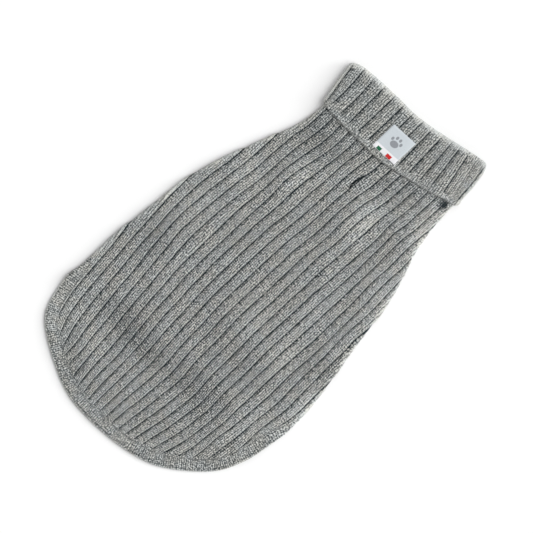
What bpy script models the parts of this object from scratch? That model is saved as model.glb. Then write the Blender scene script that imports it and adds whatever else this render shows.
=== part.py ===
"""A ribbed knit dog coat with a turned-down collar, laid flat on its belly, back up.

+Y runs to the collar, +X to the right as seen from above, and z = 0 is what the coat lies on.
Each wall starts as a grid on the flat, unfolded knitting: x across the back, y along it. It is
then laid, which turns it round the two side folds and lifts it onto the layers under it, and
its outer and inner sides are joined round their edges. The tables are in millimetres.
"""

import math

import bmesh
import bpy
import numpy as np

MM = 0.001

# The knitting
WALL = 1.8
RIB_HEIGHT = 0.9
GROOVE_HALF = 0.14  # of a rib's pitch
RIB_FADE_TURN = (100.0, 60.0)  # round a side fold the ribs fade from here, over so many degrees
SEAM_GAP = 0.3
LAYER_GAP = 1.2
BAND_WIDTH = 12.5
BAND_THICK = 2.5

# The belly seams, counted in ribs from the first groove right of the back's centre
SEAM_LEFT, SEAM_RIGHT = -15.5, 13.5
RIBS_BY_THE_SEAM = 4  # these bend round the hem's corner and get a column more each

# The neck, where four layers lie on each other
NECK_GAP = 0.3
NECK_LAP = 9.3  # how far the body reaches up under the turned-down collar
NECK_SEAM = 0.8  # from the body's neck edge to the collar's inner tube
NECK_RAMP = 20.0
NECK_FLAT = 6.0  # the body lies at its neck height from here to the collar's edge
INNER_TUBE = (NECK_GAP, NECK_GAP + WALL)
OUTER_TURN = (INNER_TUBE[1] + SEAM_GAP, INNER_TUBE[1] + SEAM_GAP + WALL)
NECK_MID = OUTER_TURN[1]

# The tail, one layer that drops to the floor past the belly's hem
DROP_RUN = 26.0
DROP_CENTRE, DROP_SIDE = -121.0, -152.0
DROP_SPREAD = (88.0, 124.0)

# How far in from a side fold and from the collar the swells are at full height
CALM_AT_FOLD, CALM_AT_NECK = 26.0, 24.0

# The collar
COLLAR_FLARE = 1.2
FLARE_REACH = 15.0
RIB_FADE_UNDER_COLLAR = 7.0
WELT = 4.4
COLLAR_RIBS = 6  # grooves either side of the one at the label
SIDE_TURNS = (10, 40, 72, 104, 142)  # degrees round a side of the collar
UNDER_STATIONS = 9

# Leg holes, on the belly seams
LEG_HOLE_Y = 66.0
LEG_HOLE_LONG, LEG_HOLE_WIDE = 36.0, 27.0
LEG_HOLE_TURN = 14.0  # degrees, tops towards the middle
CUFF_WIDTH = 8.0
CUFF_THICK = 2.3
OVAL_SIDES = 32

# The leash slit in the groove at the centre of the back
SLIT_LOW, SLIT_HIGH = (4.6, 121.4), (7.0, 140.4)
SLIT_WIDTH, SLIT_BOW = 1.9, 2.6

# The label on the collar
LABEL_WIDE, LABEL_TALL, LABEL_THICK = 30.0, 31.0, 0.8
LABEL_CENTRE, LABEL_LIFT = 5.4, 3.6  # across, and above the collar's edge

# Places of the grid's rows, from the neck to the tail
ROWS = (176, 167, 158, 149, 138, 122, 104, 80, 52, 22, -8, -38, -64, -80, -87, -92, -97, -103,
        -111, -121, -131, -142, -154, -168, -183, -198, -212, -228)
BELLY_ROWS = ROWS[:14] + (-93, -106)


class Table:
    """Sizes in named columns, a row for each place, read by a smooth curve through the rows."""

    def __init__(self, columns, *rows):
        ordered = np.array(sorted(rows))
        at = ordered[:, 0]
        self.fine = np.arange(at[0], at[-1] + 0.5, 0.5)
        spot = np.clip(np.searchsorted(at, self.fine, "right") - 1, 0, len(at) - 2)
        gap = (at[spot + 1] - at[spot])
        t = np.clip((self.fine - at[spot]) / gap, 0, 1)
        self.curves = {}
        for name, values in zip(columns.split()[1:], ordered[:, 1:].T):
            slope = np.gradient(values, at)
            self.curves[name] = (
                (2 * t**3 - 3 * t**2 + 1) * values[spot]
                + (t**3 - 2 * t**2 + t) * gap * slope[spot]
                + (3 * t**2 - 2 * t**3) * values[spot + 1]
                + (t**3 - t**2) * gap * slope[spot + 1]
            )

    def read(self, name, at):
        return float(np.interp(at, self.fine, self.curves[name]))


# Groove tracks on the back: x = centre + pitch n + spread n n, for groove n
RIBS = Table(
    "y centre pitch spread",
    (190, 23.5, 10.7, -0.07),
    (157, 21.9, 10.7, -0.07),
    (137, 19.9, 10.8, -0.067),
    (116, 15.8, 10.8, -0.062),
    (96, 13.7, 10.8, -0.056),
    (65, 12.7, 11.1, -0.03),
    (34, 9.6, 11.5, 0.0),
    (3, 8.5, 11.6, -0.02),
    (-28, 7.5, 11.6, -0.035),
    (-59, 6.5, 11.4, -0.01),
    (-90, 7.5, 11.2, 0.0),
    (-120, 7.6, 10.9, 0.0),
    (-151, 8.6, 10.6, 0.0),
    (-182, 6.5, 10.2, 0.03),
    (-210, 3.4, 9.3, 0.06),
    (-240, 1.5, 8.4, 0.07),
)

# The lines where the side folds begin on the back; past the belly they run clear of the hem
FOLDS = Table(
    "y left right",
    (195, -72.9, 90.0),
    (176, -72.9, 90.0),
    (158, -72.7, 91.6),
    (146, -73.7, 92.6),
    (134, -75.7, 94.3),
    (121, -79.8, 96.9),
    (109, -85.0, 101.0),
    (84, -94.8, 109.3),
    (47, -108.7, 117.5),
    (10, -119.0, 121.6),
    (-33, -124.1, 129.0),
    (-82, -130.3, 134.0),
    (-107, -131.2, 133.8),
    (-120, -131.8, 132.2),
    (-132, -132.6, 131.2),
    (-144, -135.4, 133.5),
    (-157, -139.5, 137.0),
    (-240, -145.0, 145.0),
)

# The collar's lower edge and its fold at the top, across the coat
COLLAR_EDGES = Table(
    "x low high",
    (-84, 168.4, 214.6),
    (-61, 166.6, 217.3),
    (-27, 165.3, 220.4),
    (1, 165.3, 222.0),
    (29, 167.9, 226.6),
    (56, 173.0, 232.4),
    (79, 180.0, 237.2),
    (98, 184.4, 238.1),
)

COLLAR_HEIGHT = COLLAR_EDGES.read("high", 0) - COLLAR_EDGES.read("low", 0)

# Collar grooves: x at the lower edge and at the fold, for groove n
COLLAR_GROOVES = Table(
    "groove low high",
    (-6, -70.8, -68.3),
    (-3, -30.6, -29.4),
    (0, 9.6, 9.6),
    (3, 49.8, 46.7),
    (6, 88.0, 80.6),
)

# Where the collar's side folds begin, at its lower edge (0) and at its top fold (1)
COLLAR_SIDES = Table(
    "share left right",
    (0, -72.9, 90.0),
    (0.4, -75.2, 90.2),
    (0.75, -77.2, 86.8),
    (1, -78.4, 84.4),
)

# Soft swells of the back over the layers under it
SWELLS = (
    # x, y, half along, half across, turn in degrees, height
    (40, 111, 34, 14, 8, 1.3),
    (-42, 101, 30, 15, -14, 1.1),
    (40, -44, 16, 52, 4, 1.5),
    (-60, 20, 60, 16, -6, 1.2),
    (70, 30, 55, 14, 3, 1.0),
    (-30, -92, 12, 60, 2, 1.2),
    (10, 60, 26, 30, 0, 0.9),
    (-112, -178, 22, 6, 18, 1.2),
)

# The hem's outer edge on the flat knitting, from the left belly seam round the tail to the right
HEM_POINTS = (
    (-166.0, -97.0),
    (-153.5, -101.5),
    (-146.0, -114.0),
    (-141.0, -131.0),
    (-137.3, -152.0),
    (-132.2, -178.0),
    (-121.0, -198.0),
    (-90.0, -218.2),
    (-51.0, -234.6),
    (-12.0, -237.8),
    (30.0, -233.8),
    (66.0, -222.3),
    (97.0, -199.6),
    (116.5, -178.0),
    (127.6, -153.0),
    (132.8, -131.0),
    (136.6, -116.0),
    (141.6, -106.2),
    (149.2, -99.4),
    (158.8, -97.0),
)
HEM_STEP = 4.2
HEM_GAP = 0.97  # where the ribs end, in the dip beside the band

# Places across a hem band, from its inner edge
BAND_ACROSS = (0.0, 1.2, 6.0, 10.1, 11.8, BAND_WIDTH)

# The belly's hem, a shallow curve between the seams
BELLY_HEM_SIDE, BELLY_HEM_MIDDLE = -97.0, -118.0

# Colours and finish of the materials: red, green, blue, roughness
FINISHES = {
    "rib_knit": (0.235, 0.238, 0.232, 0.92),
    "plain_knit": (0.265, 0.268, 0.262, 0.92),
    "woven_label": (0.80, 0.81, 0.82, 0.7),
}


def ease(t):
    t = min(max(t, 0.0), 1.0)
    return t * t * (3 - 2 * t)


def groove_x(n, y):
    return RIBS.read("centre", y) + RIBS.read("pitch", y) * n + RIBS.read("spread", y) * n * n


def past_fold(turn):
    """0 on the outside of a fold, 1 on its underside, where the ribs have faded."""
    start, run = (math.radians(angle) for angle in RIB_FADE_TURN)
    return ease((turn - start) / run)


def rib_relief(n):
    """0 in a groove, 1 on a rib."""
    return min(abs(n - round(n)) / GROOVE_HALF, 1.0)


def under_collar(x, y):
    """How far a place lies inside the collar's lower edge."""
    return y - COLLAR_EDGES.read("low", x)


def neck_rise(x, y):
    return ease((under_collar(x, y) + NECK_FLAT + NECK_RAMP) / NECK_RAMP)


def floor_height(x, y):
    """Underside of the coat's lower layer, which climbs onto the collar's at the neck."""
    return (NECK_MID - INNER_TUBE[1]) * neck_rise(x, y)


def drop(x, y):
    """1 over the belly, 0 on the floor past it."""
    aside = ease((abs(x) - DROP_SPREAD[0]) / (DROP_SPREAD[1] - DROP_SPREAD[0]))
    start = DROP_CENTRE + (DROP_SIDE - DROP_CENTRE) * aside
    return 1 - ease((start - y) / DROP_RUN)


def swell(x, y):
    total = 0.0
    for at_x, at_y, along, across, turn, height in SWELLS:
        c, s = math.cos(math.radians(turn)), math.sin(math.radians(turn))
        off_x, off_y = x - at_x, y - at_y
        far = ((off_x * c - off_y * s) / across) ** 2 + ((off_x * s + off_y * c) / along) ** 2
        total += height * math.exp(-far)
    return total


def fold_radius(x, y):
    """Radius of the cloth's inner side at a side fold."""
    gap = LAYER_GAP + (2 * NECK_GAP - LAYER_GAP) * neck_rise(x, y)
    return gap / 2


def top_height(x, y):
    """Inner side of the coat's upper layer."""
    level = floor_height(x, y) + WALL + 2 * fold_radius(x, y)
    side = min(x - FOLDS.read("left", y), FOLDS.read("right", y) - x)
    free = ease(side / CALM_AT_FOLD) * ease(-under_collar(x, y) / CALM_AT_NECK)
    return level * drop(x, y) + swell(x, y) * free


def fold_turn(x, y, side):
    """Angle turned round a side fold, in radians; 0 or less on the back."""
    line = FOLDS.read(side, y)
    past = line - x if side == "left" else x - line
    return past / (fold_radius(line, y) + WALL / 2)


def lay(x, y, out, relief=0.0, thick=WALL):
    """A point of the flat knitting, this far out from its inner side, on the laid coat."""
    left, right = FOLDS.read("left", y), FOLDS.read("right", y)
    turn = max(fold_turn(x, y, "left"), fold_turn(x, y, "right"))
    covered = 1 - ease(under_collar(min(max(x, left), right), y) / RIB_FADE_UNDER_COLLAR)
    out += relief * covered * (1 - past_fold(turn))
    if turn <= 0:
        return x, y, top_height(x, y) + out
    line, away = (left, -1) if x < left else (right, 1)
    radius = fold_radius(line, y) - (thick - WALL) / 2
    middle = floor_height(line, y) + thick + radius
    if turn < math.pi:
        reach = (radius + out) * math.sin(turn)
        return line + away * reach, y, middle + (radius + out) * math.cos(turn)
    laid_x = line - away * (turn - math.pi) * (fold_radius(line, y) + WALL / 2)
    return laid_x, y, floor_height(laid_x, y) + thick - out


def through(points, step):
    """Evenly spaced places on a smooth curve through the points."""
    given = np.array(points, float)
    ends = np.vstack([2 * given[0] - given[1], given, 2 * given[-1] - given[-2]])
    fine = []
    for a, b, c, d in zip(ends, ends[1:], ends[2:], ends[3:]):
        for t in np.linspace(0, 1, 24, endpoint=False):
            fine.append(
                0.5 * (2 * b + (c - a) * t + (2 * a - 5 * b + 4 * c - d) * t**2
                       + (3 * b - a - 3 * c + d) * t**3)
            )
    fine = np.array(fine + [given[-1]])
    run = np.concatenate([[0], np.cumsum(np.hypot(*np.diff(fine, axis=0).T))])
    at = np.linspace(0, run[-1], round(run[-1] / step) + 1)
    return np.column_stack([np.interp(at, run, fine[:, 0]), np.interp(at, run, fine[:, 1])])


def hem_line():
    """Places on the hem's outer edge, and at each the direction into the cloth."""
    line = through(HEM_POINTS, HEM_STEP)
    along = np.gradient(line, axis=0)
    inward = np.column_stack([-along[:, 1], along[:, 0]])
    inward /= np.hypot(*inward.T)[:, None]
    for end, seam in ((0, SEAM_LEFT), (-1, SEAM_RIGHT)):
        y = line[end, 1]
        line[end, 0] = groove_x(seam, y)
        inward[end] = (groove_x(seam, y + BAND_WIDTH) - groove_x(seam, y)) / BAND_WIDTH, 1
    return line, inward


HEM_LINE, HEM_INWARD = hem_line()


def from_hem(x, y):
    """How far round the hem a place is, from 0 to 1, and how far inside its outer edge."""
    start, ends = HEM_LINE[:-1], HEM_LINE[1:]
    along = ends - start
    share = (((x, y) - start) * along).sum(axis=1) / (along**2).sum(axis=1)
    share = np.clip(share, 0, 1)
    off = np.array((x, y)) - start - along * share[:, None]
    nearest = int(np.argmin((off**2).sum(axis=1)))
    inside = float(off[nearest] @ (HEM_INWARD[nearest] + HEM_INWARD[nearest + 1]))
    distance = math.copysign(math.hypot(*off[nearest]), inside)
    return (nearest + share[nearest]) / (len(HEM_LINE) - 1), distance


def sheet(bm, across, along, place):
    """A grid on the flat knitting. place(u, v) gives each point's x, y and relief."""
    grid = bmesh.ops.create_grid(
        bm, x_segments=len(across) - 1, y_segments=len(along) - 1, size=1
    )["verts"]
    u_of, v_of, relief_of = (bm.verts.layers.float[name] for name in ("u", "v", "relief"))
    for index, vert in enumerate(grid):
        row, column = divmod(index, len(across))
        u, v = across[column], along[row]
        x, y, relief = place(u, v)
        vert.co = (x, y, 0)
        vert[u_of], vert[v_of], vert[relief_of] = u, v, relief
    return grid


def crease(bm, verts, side):
    """Adds edges along a side fold, so that the sheet turns there and nowhere else."""
    seen = set(verts)
    for vert in seen:
        x, y, _ = vert.co
        vert.co.x = fold_turn(x, y, side)
    for eighth in range(5):
        geometry = list(seen)
        geometry += list({edge for vert in seen for edge in vert.link_edges})
        geometry += list({face for vert in seen for face in vert.link_faces})
        cut = bmesh.ops.bisect_plane(
            bm,
            geom=geometry,
            dist=1e-4,
            plane_co=(eighth * math.pi / 4, 0, 0),
            plane_no=(1, 0, 0),
        )
        seen |= {item for item in cut["geom_cut"] if isinstance(item, bmesh.types.BMVert)}
    for vert in seen:
        turn, y, _ = vert.co
        line = FOLDS.read(side, y)
        past = turn * (fold_radius(line, y) + WALL / 2)
        vert.co.x = line - past if side == "left" else line + past
    return list(seen)


def trim_at_hem(bm, verts, inset):
    """Cuts a sheet off along the hem, this far inside its outer edge."""
    x_of = bm.verts.layers.float["x"]
    for vert in verts:
        vert[x_of] = vert.co.x
        vert.co.x = from_hem(vert.co.x, vert.co.y)[1]
    geometry = list(verts)
    geometry += list({edge for vert in verts for edge in vert.link_edges})
    geometry += list({face for vert in verts for face in vert.link_faces})
    cut = bmesh.ops.bisect_plane(
        bm, geom=geometry, dist=1e-3, plane_co=(inset, 0, 0), plane_no=(-1, 0, 0), clear_outer=True
    )
    edge = {item for item in cut["geom_cut"] if isinstance(item, bmesh.types.BMVert)}
    kept = [vert for vert in set(verts) | edge if vert.is_valid]
    for vert in kept:
        vert.co.x = vert[x_of]
    return kept


def rim_of(verts, u_of, v_of, ends, trimmed):
    """A sheet's edge, once round from the first corner, with a number that grows along it."""
    (u_low, u_high), (v_low, v_high) = ends
    current = next(v for v in verts if abs(v[u_of] - u_low) + abs(v[v_of] - v_low) < 1e-4)
    rim, seen = [], set()
    part, part_starts = 0, [0]
    while current:
        rim.append(current)
        seen.add(current)
        beside = [
            edge.other_vert(current) for edge in current.link_edges if edge.is_boundary
        ]
        beside = [vert for vert in beside if vert not in seen]
        beside.sort(key=lambda vert: vert[v_of] - v_low + (u_high - vert[u_of]) * 1e-3)
        current = beside[0] if beside else None
        if not current:
            break
        on_part = (
            abs(current[v_of] - v_low) < 1e-4,
            abs(current[u_of] - u_high) < 1e-4,
            abs(current[u_of] - u_low) > 1e-4,
            True,
        )
        while not on_part[part]:
            part += 1
            part_starts.append(len(rim) - 1)
    part_starts.append(len(rim))
    keys = []
    for side, (start, stop) in enumerate(zip(part_starts, part_starts[1:])):
        for vert in rim[start:stop]:
            u_share = (vert[u_of] - u_low) / (u_high - u_low)
            v_share = (vert[v_of] - v_low) / (v_high - v_low)
            if side == 2 and trimmed:
                u_share = from_hem(vert.co.x, vert.co.y)[0]
            keys.append((u_share, 1 + v_share, 3 - u_share, 4 - v_share)[side])
    keys = np.maximum.accumulate(keys).tolist()
    return rim + rim[:1], keys + [4 + keys[0]]


def join_edges(bm, outer, inner, u_of, v_of, ends, trimmed):
    """Closes a wall: faces between the edges of its outer and inner sheets."""
    rims = [rim_of(verts, u_of, v_of, ends, trimmed) for verts in (outer, inner)]
    (a, a_keys), (b, b_keys) = rims
    i = j = 0
    while i < len(a) - 1 or j < len(b) - 1:
        a_next = a_keys[i + 1] if i < len(a) - 1 else math.inf
        b_next = b_keys[j + 1] if j < len(b) - 1 else math.inf
        if abs(a_next - b_next) < 1e-4:
            bm.faces.new((a[i], a[i + 1], b[j + 1], b[j]))
            i, j = i + 1, j + 1
        elif a_next < b_next:
            bm.faces.new((a[i], a[i + 1], b[j]))
            i += 1
        else:
            bm.faces.new((a[i], b[j + 1], b[j]))
            j += 1


def solid_wall(
    name, finish, outer_grid, inner_grid, place, put, thickness, folds=(), hem_inset=None
):
    """A wall of knitting: ribbed or rounded outside, plain and coarser inside."""
    bm = bmesh.new()
    u_of, v_of, relief_of, _ = (
        bm.verts.layers.float.new(key) for key in ("u", "v", "relief", "x")
    )
    ends = tuple((axis[0], axis[-1]) for axis in outer_grid)
    sides = []
    for grid in (outer_grid, inner_grid):
        before = set(bm.verts)
        sheet(bm, *grid, place)
        verts = list(set(bm.verts) - before)
        if hem_inset is not None:
            verts = trim_at_hem(bm, verts, hem_inset)
        for side in folds:
            verts = crease(bm, verts, side)
        sides.append(verts)
    bmesh.ops.triangulate(bm, faces=list(bm.faces))
    bm.verts.index_update()
    outer, inner = sides
    join_edges(bm, outer, inner, u_of, v_of, ends, hem_inset is not None)
    for vert in outer:
        vert.co = put(vert.co.x, vert.co.y, thickness(vert[u_of], vert[v_of]), vert[relief_of])
    for vert in inner:
        vert.co = put(vert.co.x, vert.co.y, 0.0, 0.0)
    return finished(bm, name, finish)


def finished(bm, name, finish):
    """The mesh as a named object in metres, in the coat's collection, with its material."""
    bmesh.ops.recalc_face_normals(bm, faces=list(bm.faces))
    bmesh.ops.scale(bm, vec=(MM, MM, MM), verts=list(bm.verts))
    mesh = bpy.data.meshes.new(name)
    bm.to_mesh(mesh)
    bm.free()
    mesh.shade_smooth()
    mesh.set_sharp_from_angle(angle=math.radians(50))
    mesh.materials.append(material(finish))
    piece = bpy.data.objects.new(name, mesh)
    collection("dog_coat").objects.link(piece)
    return piece


def material(name):
    found = bpy.data.materials.get(name)
    if found:
        return found
    red, green, blue, roughness = FINISHES[name]
    made = bpy.data.materials.new(name)
    made.use_nodes = True
    shader = made.node_tree.nodes["Principled BSDF"]
    shader.inputs["Base Color"].default_value = (red, green, blue, 1)
    shader.inputs["Roughness"].default_value = roughness
    shader.inputs["Metallic"].default_value = 0
    return made


def collection(name):
    found = bpy.data.collections.get(name)
    if not found:
        found = bpy.data.collections.new(name)
        bpy.context.scene.collection.children.link(found)
    return found


def rib_columns(first, last, finer_ends=0):
    """Rib coordinates of the grid's columns: each groove and the two shoulders beside it."""
    columns = {first, last}
    for n in range(math.floor(first), math.ceil(last) + 1):
        columns |= {n - GROOVE_HALF, float(n), n + GROOVE_HALF}
        if n < first + finer_ends or n > last - finer_ends:
            columns.add(n + 0.5)
    return sorted(column for column in columns if first <= column <= last)


def neck_y(x):
    return COLLAR_EDGES.read("low", x) + NECK_LAP


def row_y(x, row):
    """A row's place: across the coat, or along the slanted neck for the first few."""
    slant = ease((row - 90) / (ROWS[0] - 90))
    return row + (neck_y(x) - ROWS[0]) * slant


def row_place(row, x_at):
    """Where a row lies at one place across: x_at gives the laid and the flat x for a y."""
    y = row
    for _ in range(4):
        y = row_y(x_at(y)[0], row)
    return x_at(y)[1], y


def back_panel():
    def place(n, v):
        def x_at(y):
            flat_x = groove_x(n, y)
            return lay(flat_x, y, 0)[0], flat_x

        x, y = row_place(ROWS[0] - v, x_at)
        return x, y, RIB_HEIGHT * rib_relief(n)

    rows = [ROWS[0] - row for row in ROWS]
    plain = [SEAM_LEFT, *range(math.ceil(SEAM_LEFT), math.ceil(SEAM_RIGHT)), SEAM_RIGHT]
    return solid_wall(
        "back_panel",
        "rib_knit",
        (rib_columns(SEAM_LEFT, SEAM_RIGHT, RIBS_BY_THE_SEAM), rows),
        (plain, rows),
        place,
        lay,
        lambda n, v: WALL,
        folds=("left", "right"),
        hem_inset=BAND_WIDTH + HEM_GAP,
    )


def band_thickness(across):
    """A doubled band is a little rounded along both edges, more along the outer one."""
    inner = 0.6 * (1 - ease(across / 1.2))
    outer = 1.3 * ease((across - BAND_WIDTH + 2.4) / 2.4)
    return BAND_THICK - inner - outer


def back_hem_band():
    def place(station, across):
        x, y = HEM_LINE[station] + HEM_INWARD[station] * (BAND_WIDTH - across)
        return x, y, 0.0

    def put(x, y, out, relief):
        return lay(x, y, out, relief, BAND_THICK)

    stations = list(range(len(HEM_LINE)))
    return solid_wall(
        "back_hem_band",
        "plain_knit",
        (stations, BAND_ACROSS),
        (stations, (0.0, BAND_WIDTH / 2, BAND_WIDTH)),
        place,
        put,
        lambda station, across: band_thickness(across),
        folds=("left", "right"),
    )


def seam_x(y, side):
    """Where a belly seam lies on the underside of the laid coat."""
    seam = SEAM_LEFT if side == "left" else SEAM_RIGHT
    return lay(groove_x(seam, y), y, WALL)[0]


def belly_hem_y(share):
    """The belly hem's outer edge, from its left end (0) to its right end (1)."""
    return BELLY_HEM_SIDE + (BELLY_HEM_MIDDLE - BELLY_HEM_SIDE) * (1 - (2 * share - 1) ** 2)


def belly_put(x, y, out, relief):
    """The belly lies face down: its outer side is on the floor."""
    return x, y, floor_height(x, y) + WALL - out


def belly_x(share, y):
    left = seam_x(y, "left") + SEAM_GAP
    return left + (seam_x(y, "right") - SEAM_GAP - left) * share


def belly_panel():
    def place(share, v):
        row = BELLY_ROWS[0] - v
        y = row_place(row, lambda y: (belly_x(share, y), 0))[1]
        y = max(y, belly_hem_y(share) + BAND_WIDTH + SEAM_GAP)
        return belly_x(share, y), y, 0.0

    grid = (np.linspace(0, 1, 11).tolist(), [BELLY_ROWS[0] - row for row in BELLY_ROWS])
    return solid_wall(
        "belly_panel", "rib_knit", grid, grid, place, belly_put, lambda share, v: WALL
    )


def belly_hem_band():
    def place(share, across):
        y = belly_hem_y(share) + BAND_WIDTH - across
        return belly_x(share, y), y, 0.0

    grid = (np.linspace(0, 1, 17).tolist(), BAND_ACROSS)
    return solid_wall(
        "belly_hem_band",
        "plain_knit",
        grid,
        grid,
        place,
        lambda x, y, out, relief: (x, y, out),
        lambda share, across: band_thickness(across),
    )


def collar_profile():
    """The collar's section, once round: share of its height, mm more, level, rib, flare.

    The level is above the middle of the folded collar. It runs up the outside, over the fold at
    the top, down the inside to the seam on the body, and back up between the two layers.
    """
    low_in, low_out = INNER_TUBE
    turn_in, turn_out = OUTER_TURN
    outside_r = (turn_out - low_in) / 2
    inside_r = (turn_in - low_out) / 2
    tip = (turn_out + low_in) / 2
    points = [
        (0, 0.0, turn_out - 0.9, 0, 1),
        (0, 0.5, turn_out + 0.5, 0, 1),
        (0, 1.6, turn_out + RIB_HEIGHT, 0, 1),
        (0, WELT, turn_out + RIB_HEIGHT, 0, 1),
        (0, WELT + 1.4, turn_out, 1, 1),
        (0.33, 0, turn_out, 1, 1),
        (0.62, 0, turn_out, 1, 1),
        (1, -5.0, turn_out, 1, 0),
    ]
    for angle, rib in ((60, 0.9), (25, 0.5), (-10, 0), (-50, 0)):
        swing = math.radians(angle)
        points.append(
            (1, outside_r * (math.cos(swing) - 1), tip + outside_r * math.sin(swing), rib, 0)
        )
    points += [
        (1, -5.0, low_in, 0, 0),
        (0, NECK_LAP + NECK_SEAM, low_in, 0, 0),
        (0, NECK_LAP + NECK_SEAM, low_out, 0, 0),
        (1, -outside_r - 1, low_out, 0, 0),
        (1, inside_r - outside_r, tip, 0, 0),
        (1, -outside_r - 1, turn_in, 0, 0),
        (0, FLARE_REACH, turn_in, 0, 1),
        (0, 4.0, turn_in, 0, 1),
        (0, 0.3, turn_in + 0.2, 0, 1),
    ]
    return points


def collar_stations():
    """Places round the collar: (part, value), with grooves and shoulders on its back."""
    stations = [("back", n) for n in rib_columns(-COLLAR_RIBS, COLLAR_RIBS)]
    stations += [("right", turn) for turn in SIDE_TURNS]
    stations += [("under", share) for share in np.linspace(1, 0, UNDER_STATIONS)]
    stations += [("left", turn) for turn in reversed(SIDE_TURNS)]
    return stations


def collar_point(station, section):
    """A point of the folded collar, from its place round the neck and on its section."""
    part, value = station
    share, more, level, rib, flare = section
    height = share + more / COLLAR_HEIGHT
    left, right = (COLLAR_SIDES.read(side, height) for side in ("left", "right"))
    turn, relief = 0.0, 0.0
    if part == "back":
        low, high = COLLAR_GROOVES.read("low", value), COLLAR_GROOVES.read("high", value)
        x = low + (high - low) * height
        relief = rib_relief(value)
    elif part == "under":
        x = left + (right - left) * value
        turn = math.pi
    else:
        x = left if part == "left" else right
        turn = math.radians(value)
        relief = ease((value - SIDE_TURNS[0]) / 30)
    low, high = COLLAR_EDGES.read("low", x), COLLAR_EDGES.read("high", x)
    y = low + (high - low) * share + more
    spread = 1 - past_fold(turn)
    inside_edge = max(y - low, 0)
    level += flare * COLLAR_FLARE * (1 - ease(inside_edge / FLARE_REACH)) * spread
    level += rib * relief * RIB_HEIGHT
    if not rib and level > OUTER_TURN[1]:
        level = OUTER_TURN[1] + (level - OUTER_TURN[1]) * spread
    if part in ("left", "right"):
        x += (1 if part == "right" else -1) * level * math.sin(turn)
    return x, y, NECK_MID + level * math.cos(turn)


def collar():
    stations, sections = collar_stations(), collar_profile()
    bm = bmesh.new()
    grid = bmesh.ops.create_grid(
        bm, x_segments=len(sections), y_segments=len(stations), size=1
    )["verts"]
    for index, vert in enumerate(grid):
        row, column = divmod(index, len(sections) + 1)
        vert.co = collar_point(stations[row % len(stations)], sections[column % len(sections)])
    bmesh.ops.remove_doubles(bm, verts=list(bm.verts), dist=1e-5)
    return finished(bm, "collar", "rib_knit")


def collar_back(x, above, out):
    """A point over the collar's back, level with its ribs, this far above its lower edge."""
    low = COLLAR_EDGES.read("low", x)
    level = OUTER_TURN[1] + RIB_HEIGHT + COLLAR_FLARE * (1 - ease(above / FLARE_REACH))
    return x, low + above, NECK_MID + level + SEAM_GAP + out


def label():
    def place(u, v):
        return LABEL_CENTRE + (u - 0.5) * LABEL_WIDE, LABEL_LIFT + (1 - v) * LABEL_TALL, 0.0

    grid = (np.linspace(0, 1, 7).tolist(), np.linspace(0, 1, 7).tolist())
    return solid_wall(
        "label",
        "woven_label",
        grid,
        grid,
        place,
        lambda x, y, out, relief: collar_back(x, y, out),
        lambda u, v: LABEL_THICK,
    )


def leg_hole_place(side):
    """Centre of a leg hole and the way its long axis turns."""
    return seam_x(LEG_HOLE_Y, side), -LEG_HOLE_TURN if side == "left" else LEG_HOLE_TURN


def leg_hole_cutter(side):
    """An oval prism through the lower layer only, as wide as the hole and its cuff."""
    x, turn = leg_hole_place(side)
    top = WALL + LAYER_GAP / 2
    bm = bmesh.new()
    bmesh.ops.create_cone(
        bm, cap_ends=True, segments=OVAL_SIDES, radius1=1, radius2=1, depth=2 * top
    )
    wide, long = LEG_HOLE_WIDE / 2 + CUFF_WIDTH, LEG_HOLE_LONG / 2 + CUFF_WIDTH
    bmesh.ops.scale(bm, vec=(wide, long, 1), verts=list(bm.verts))
    return cutter(bm, f"leg_hole_{side}_cutter", (x, LEG_HOLE_Y, 0), turn)


def cutter(bm, name, place, turn):
    bmesh.ops.scale(bm, vec=(MM, MM, MM), verts=list(bm.verts))
    mesh = bpy.data.meshes.new(name)
    bm.to_mesh(mesh)
    bm.free()
    made = bpy.data.objects.new(name, mesh)
    made.location = [value * MM for value in place]
    made.rotation_euler.z = math.radians(turn)
    made.hide_render = True
    made.display_type = "WIRE"
    collection("cutters").objects.link(made)
    return made


def cut(piece, tool):
    boolean = piece.modifiers.new(tool.name, "BOOLEAN")
    boolean.operation = "DIFFERENCE"
    boolean.solver = "EXACT"
    boolean.object = tool


def leg_cuff(side):
    """A plain band round a leg hole, level with the panels that it is linked to."""
    centre_x, turn = leg_hole_place(side)
    c, s = math.cos(math.radians(turn)), math.sin(math.radians(turn))
    sections = (
        (SEAM_GAP, 0.0),
        (SEAM_GAP, CUFF_THICK - 0.5),
        (SEAM_GAP + 1.0, CUFF_THICK),
        (CUFF_WIDTH - 1.6, CUFF_THICK),
        (CUFF_WIDTH - 0.3, CUFF_THICK - 0.7),
        (CUFF_WIDTH, CUFF_THICK - 1.5),
        (CUFF_WIDTH - 0.8, 0.0),
    )
    bm = bmesh.new()
    grid = bmesh.ops.create_grid(
        bm, x_segments=len(sections), y_segments=OVAL_SIDES, size=1
    )["verts"]
    for index, vert in enumerate(grid):
        row, column = divmod(index, len(sections) + 1)
        inset, height = sections[column % len(sections)]
        angle = 2 * math.pi * (row % OVAL_SIDES) / OVAL_SIDES
        along = (LEG_HOLE_LONG / 2 + CUFF_WIDTH - inset) * math.sin(angle)
        across = (LEG_HOLE_WIDE / 2 + CUFF_WIDTH - inset) * math.cos(angle)
        x = centre_x + across * c - along * s
        y = LEG_HOLE_Y + across * s + along * c
        vert.co = (x, y, height)
    bmesh.ops.remove_doubles(bm, verts=list(bm.verts), dist=1e-5)
    return finished(bm, f"leg_cuff_{side}", "plain_knit")


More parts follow.
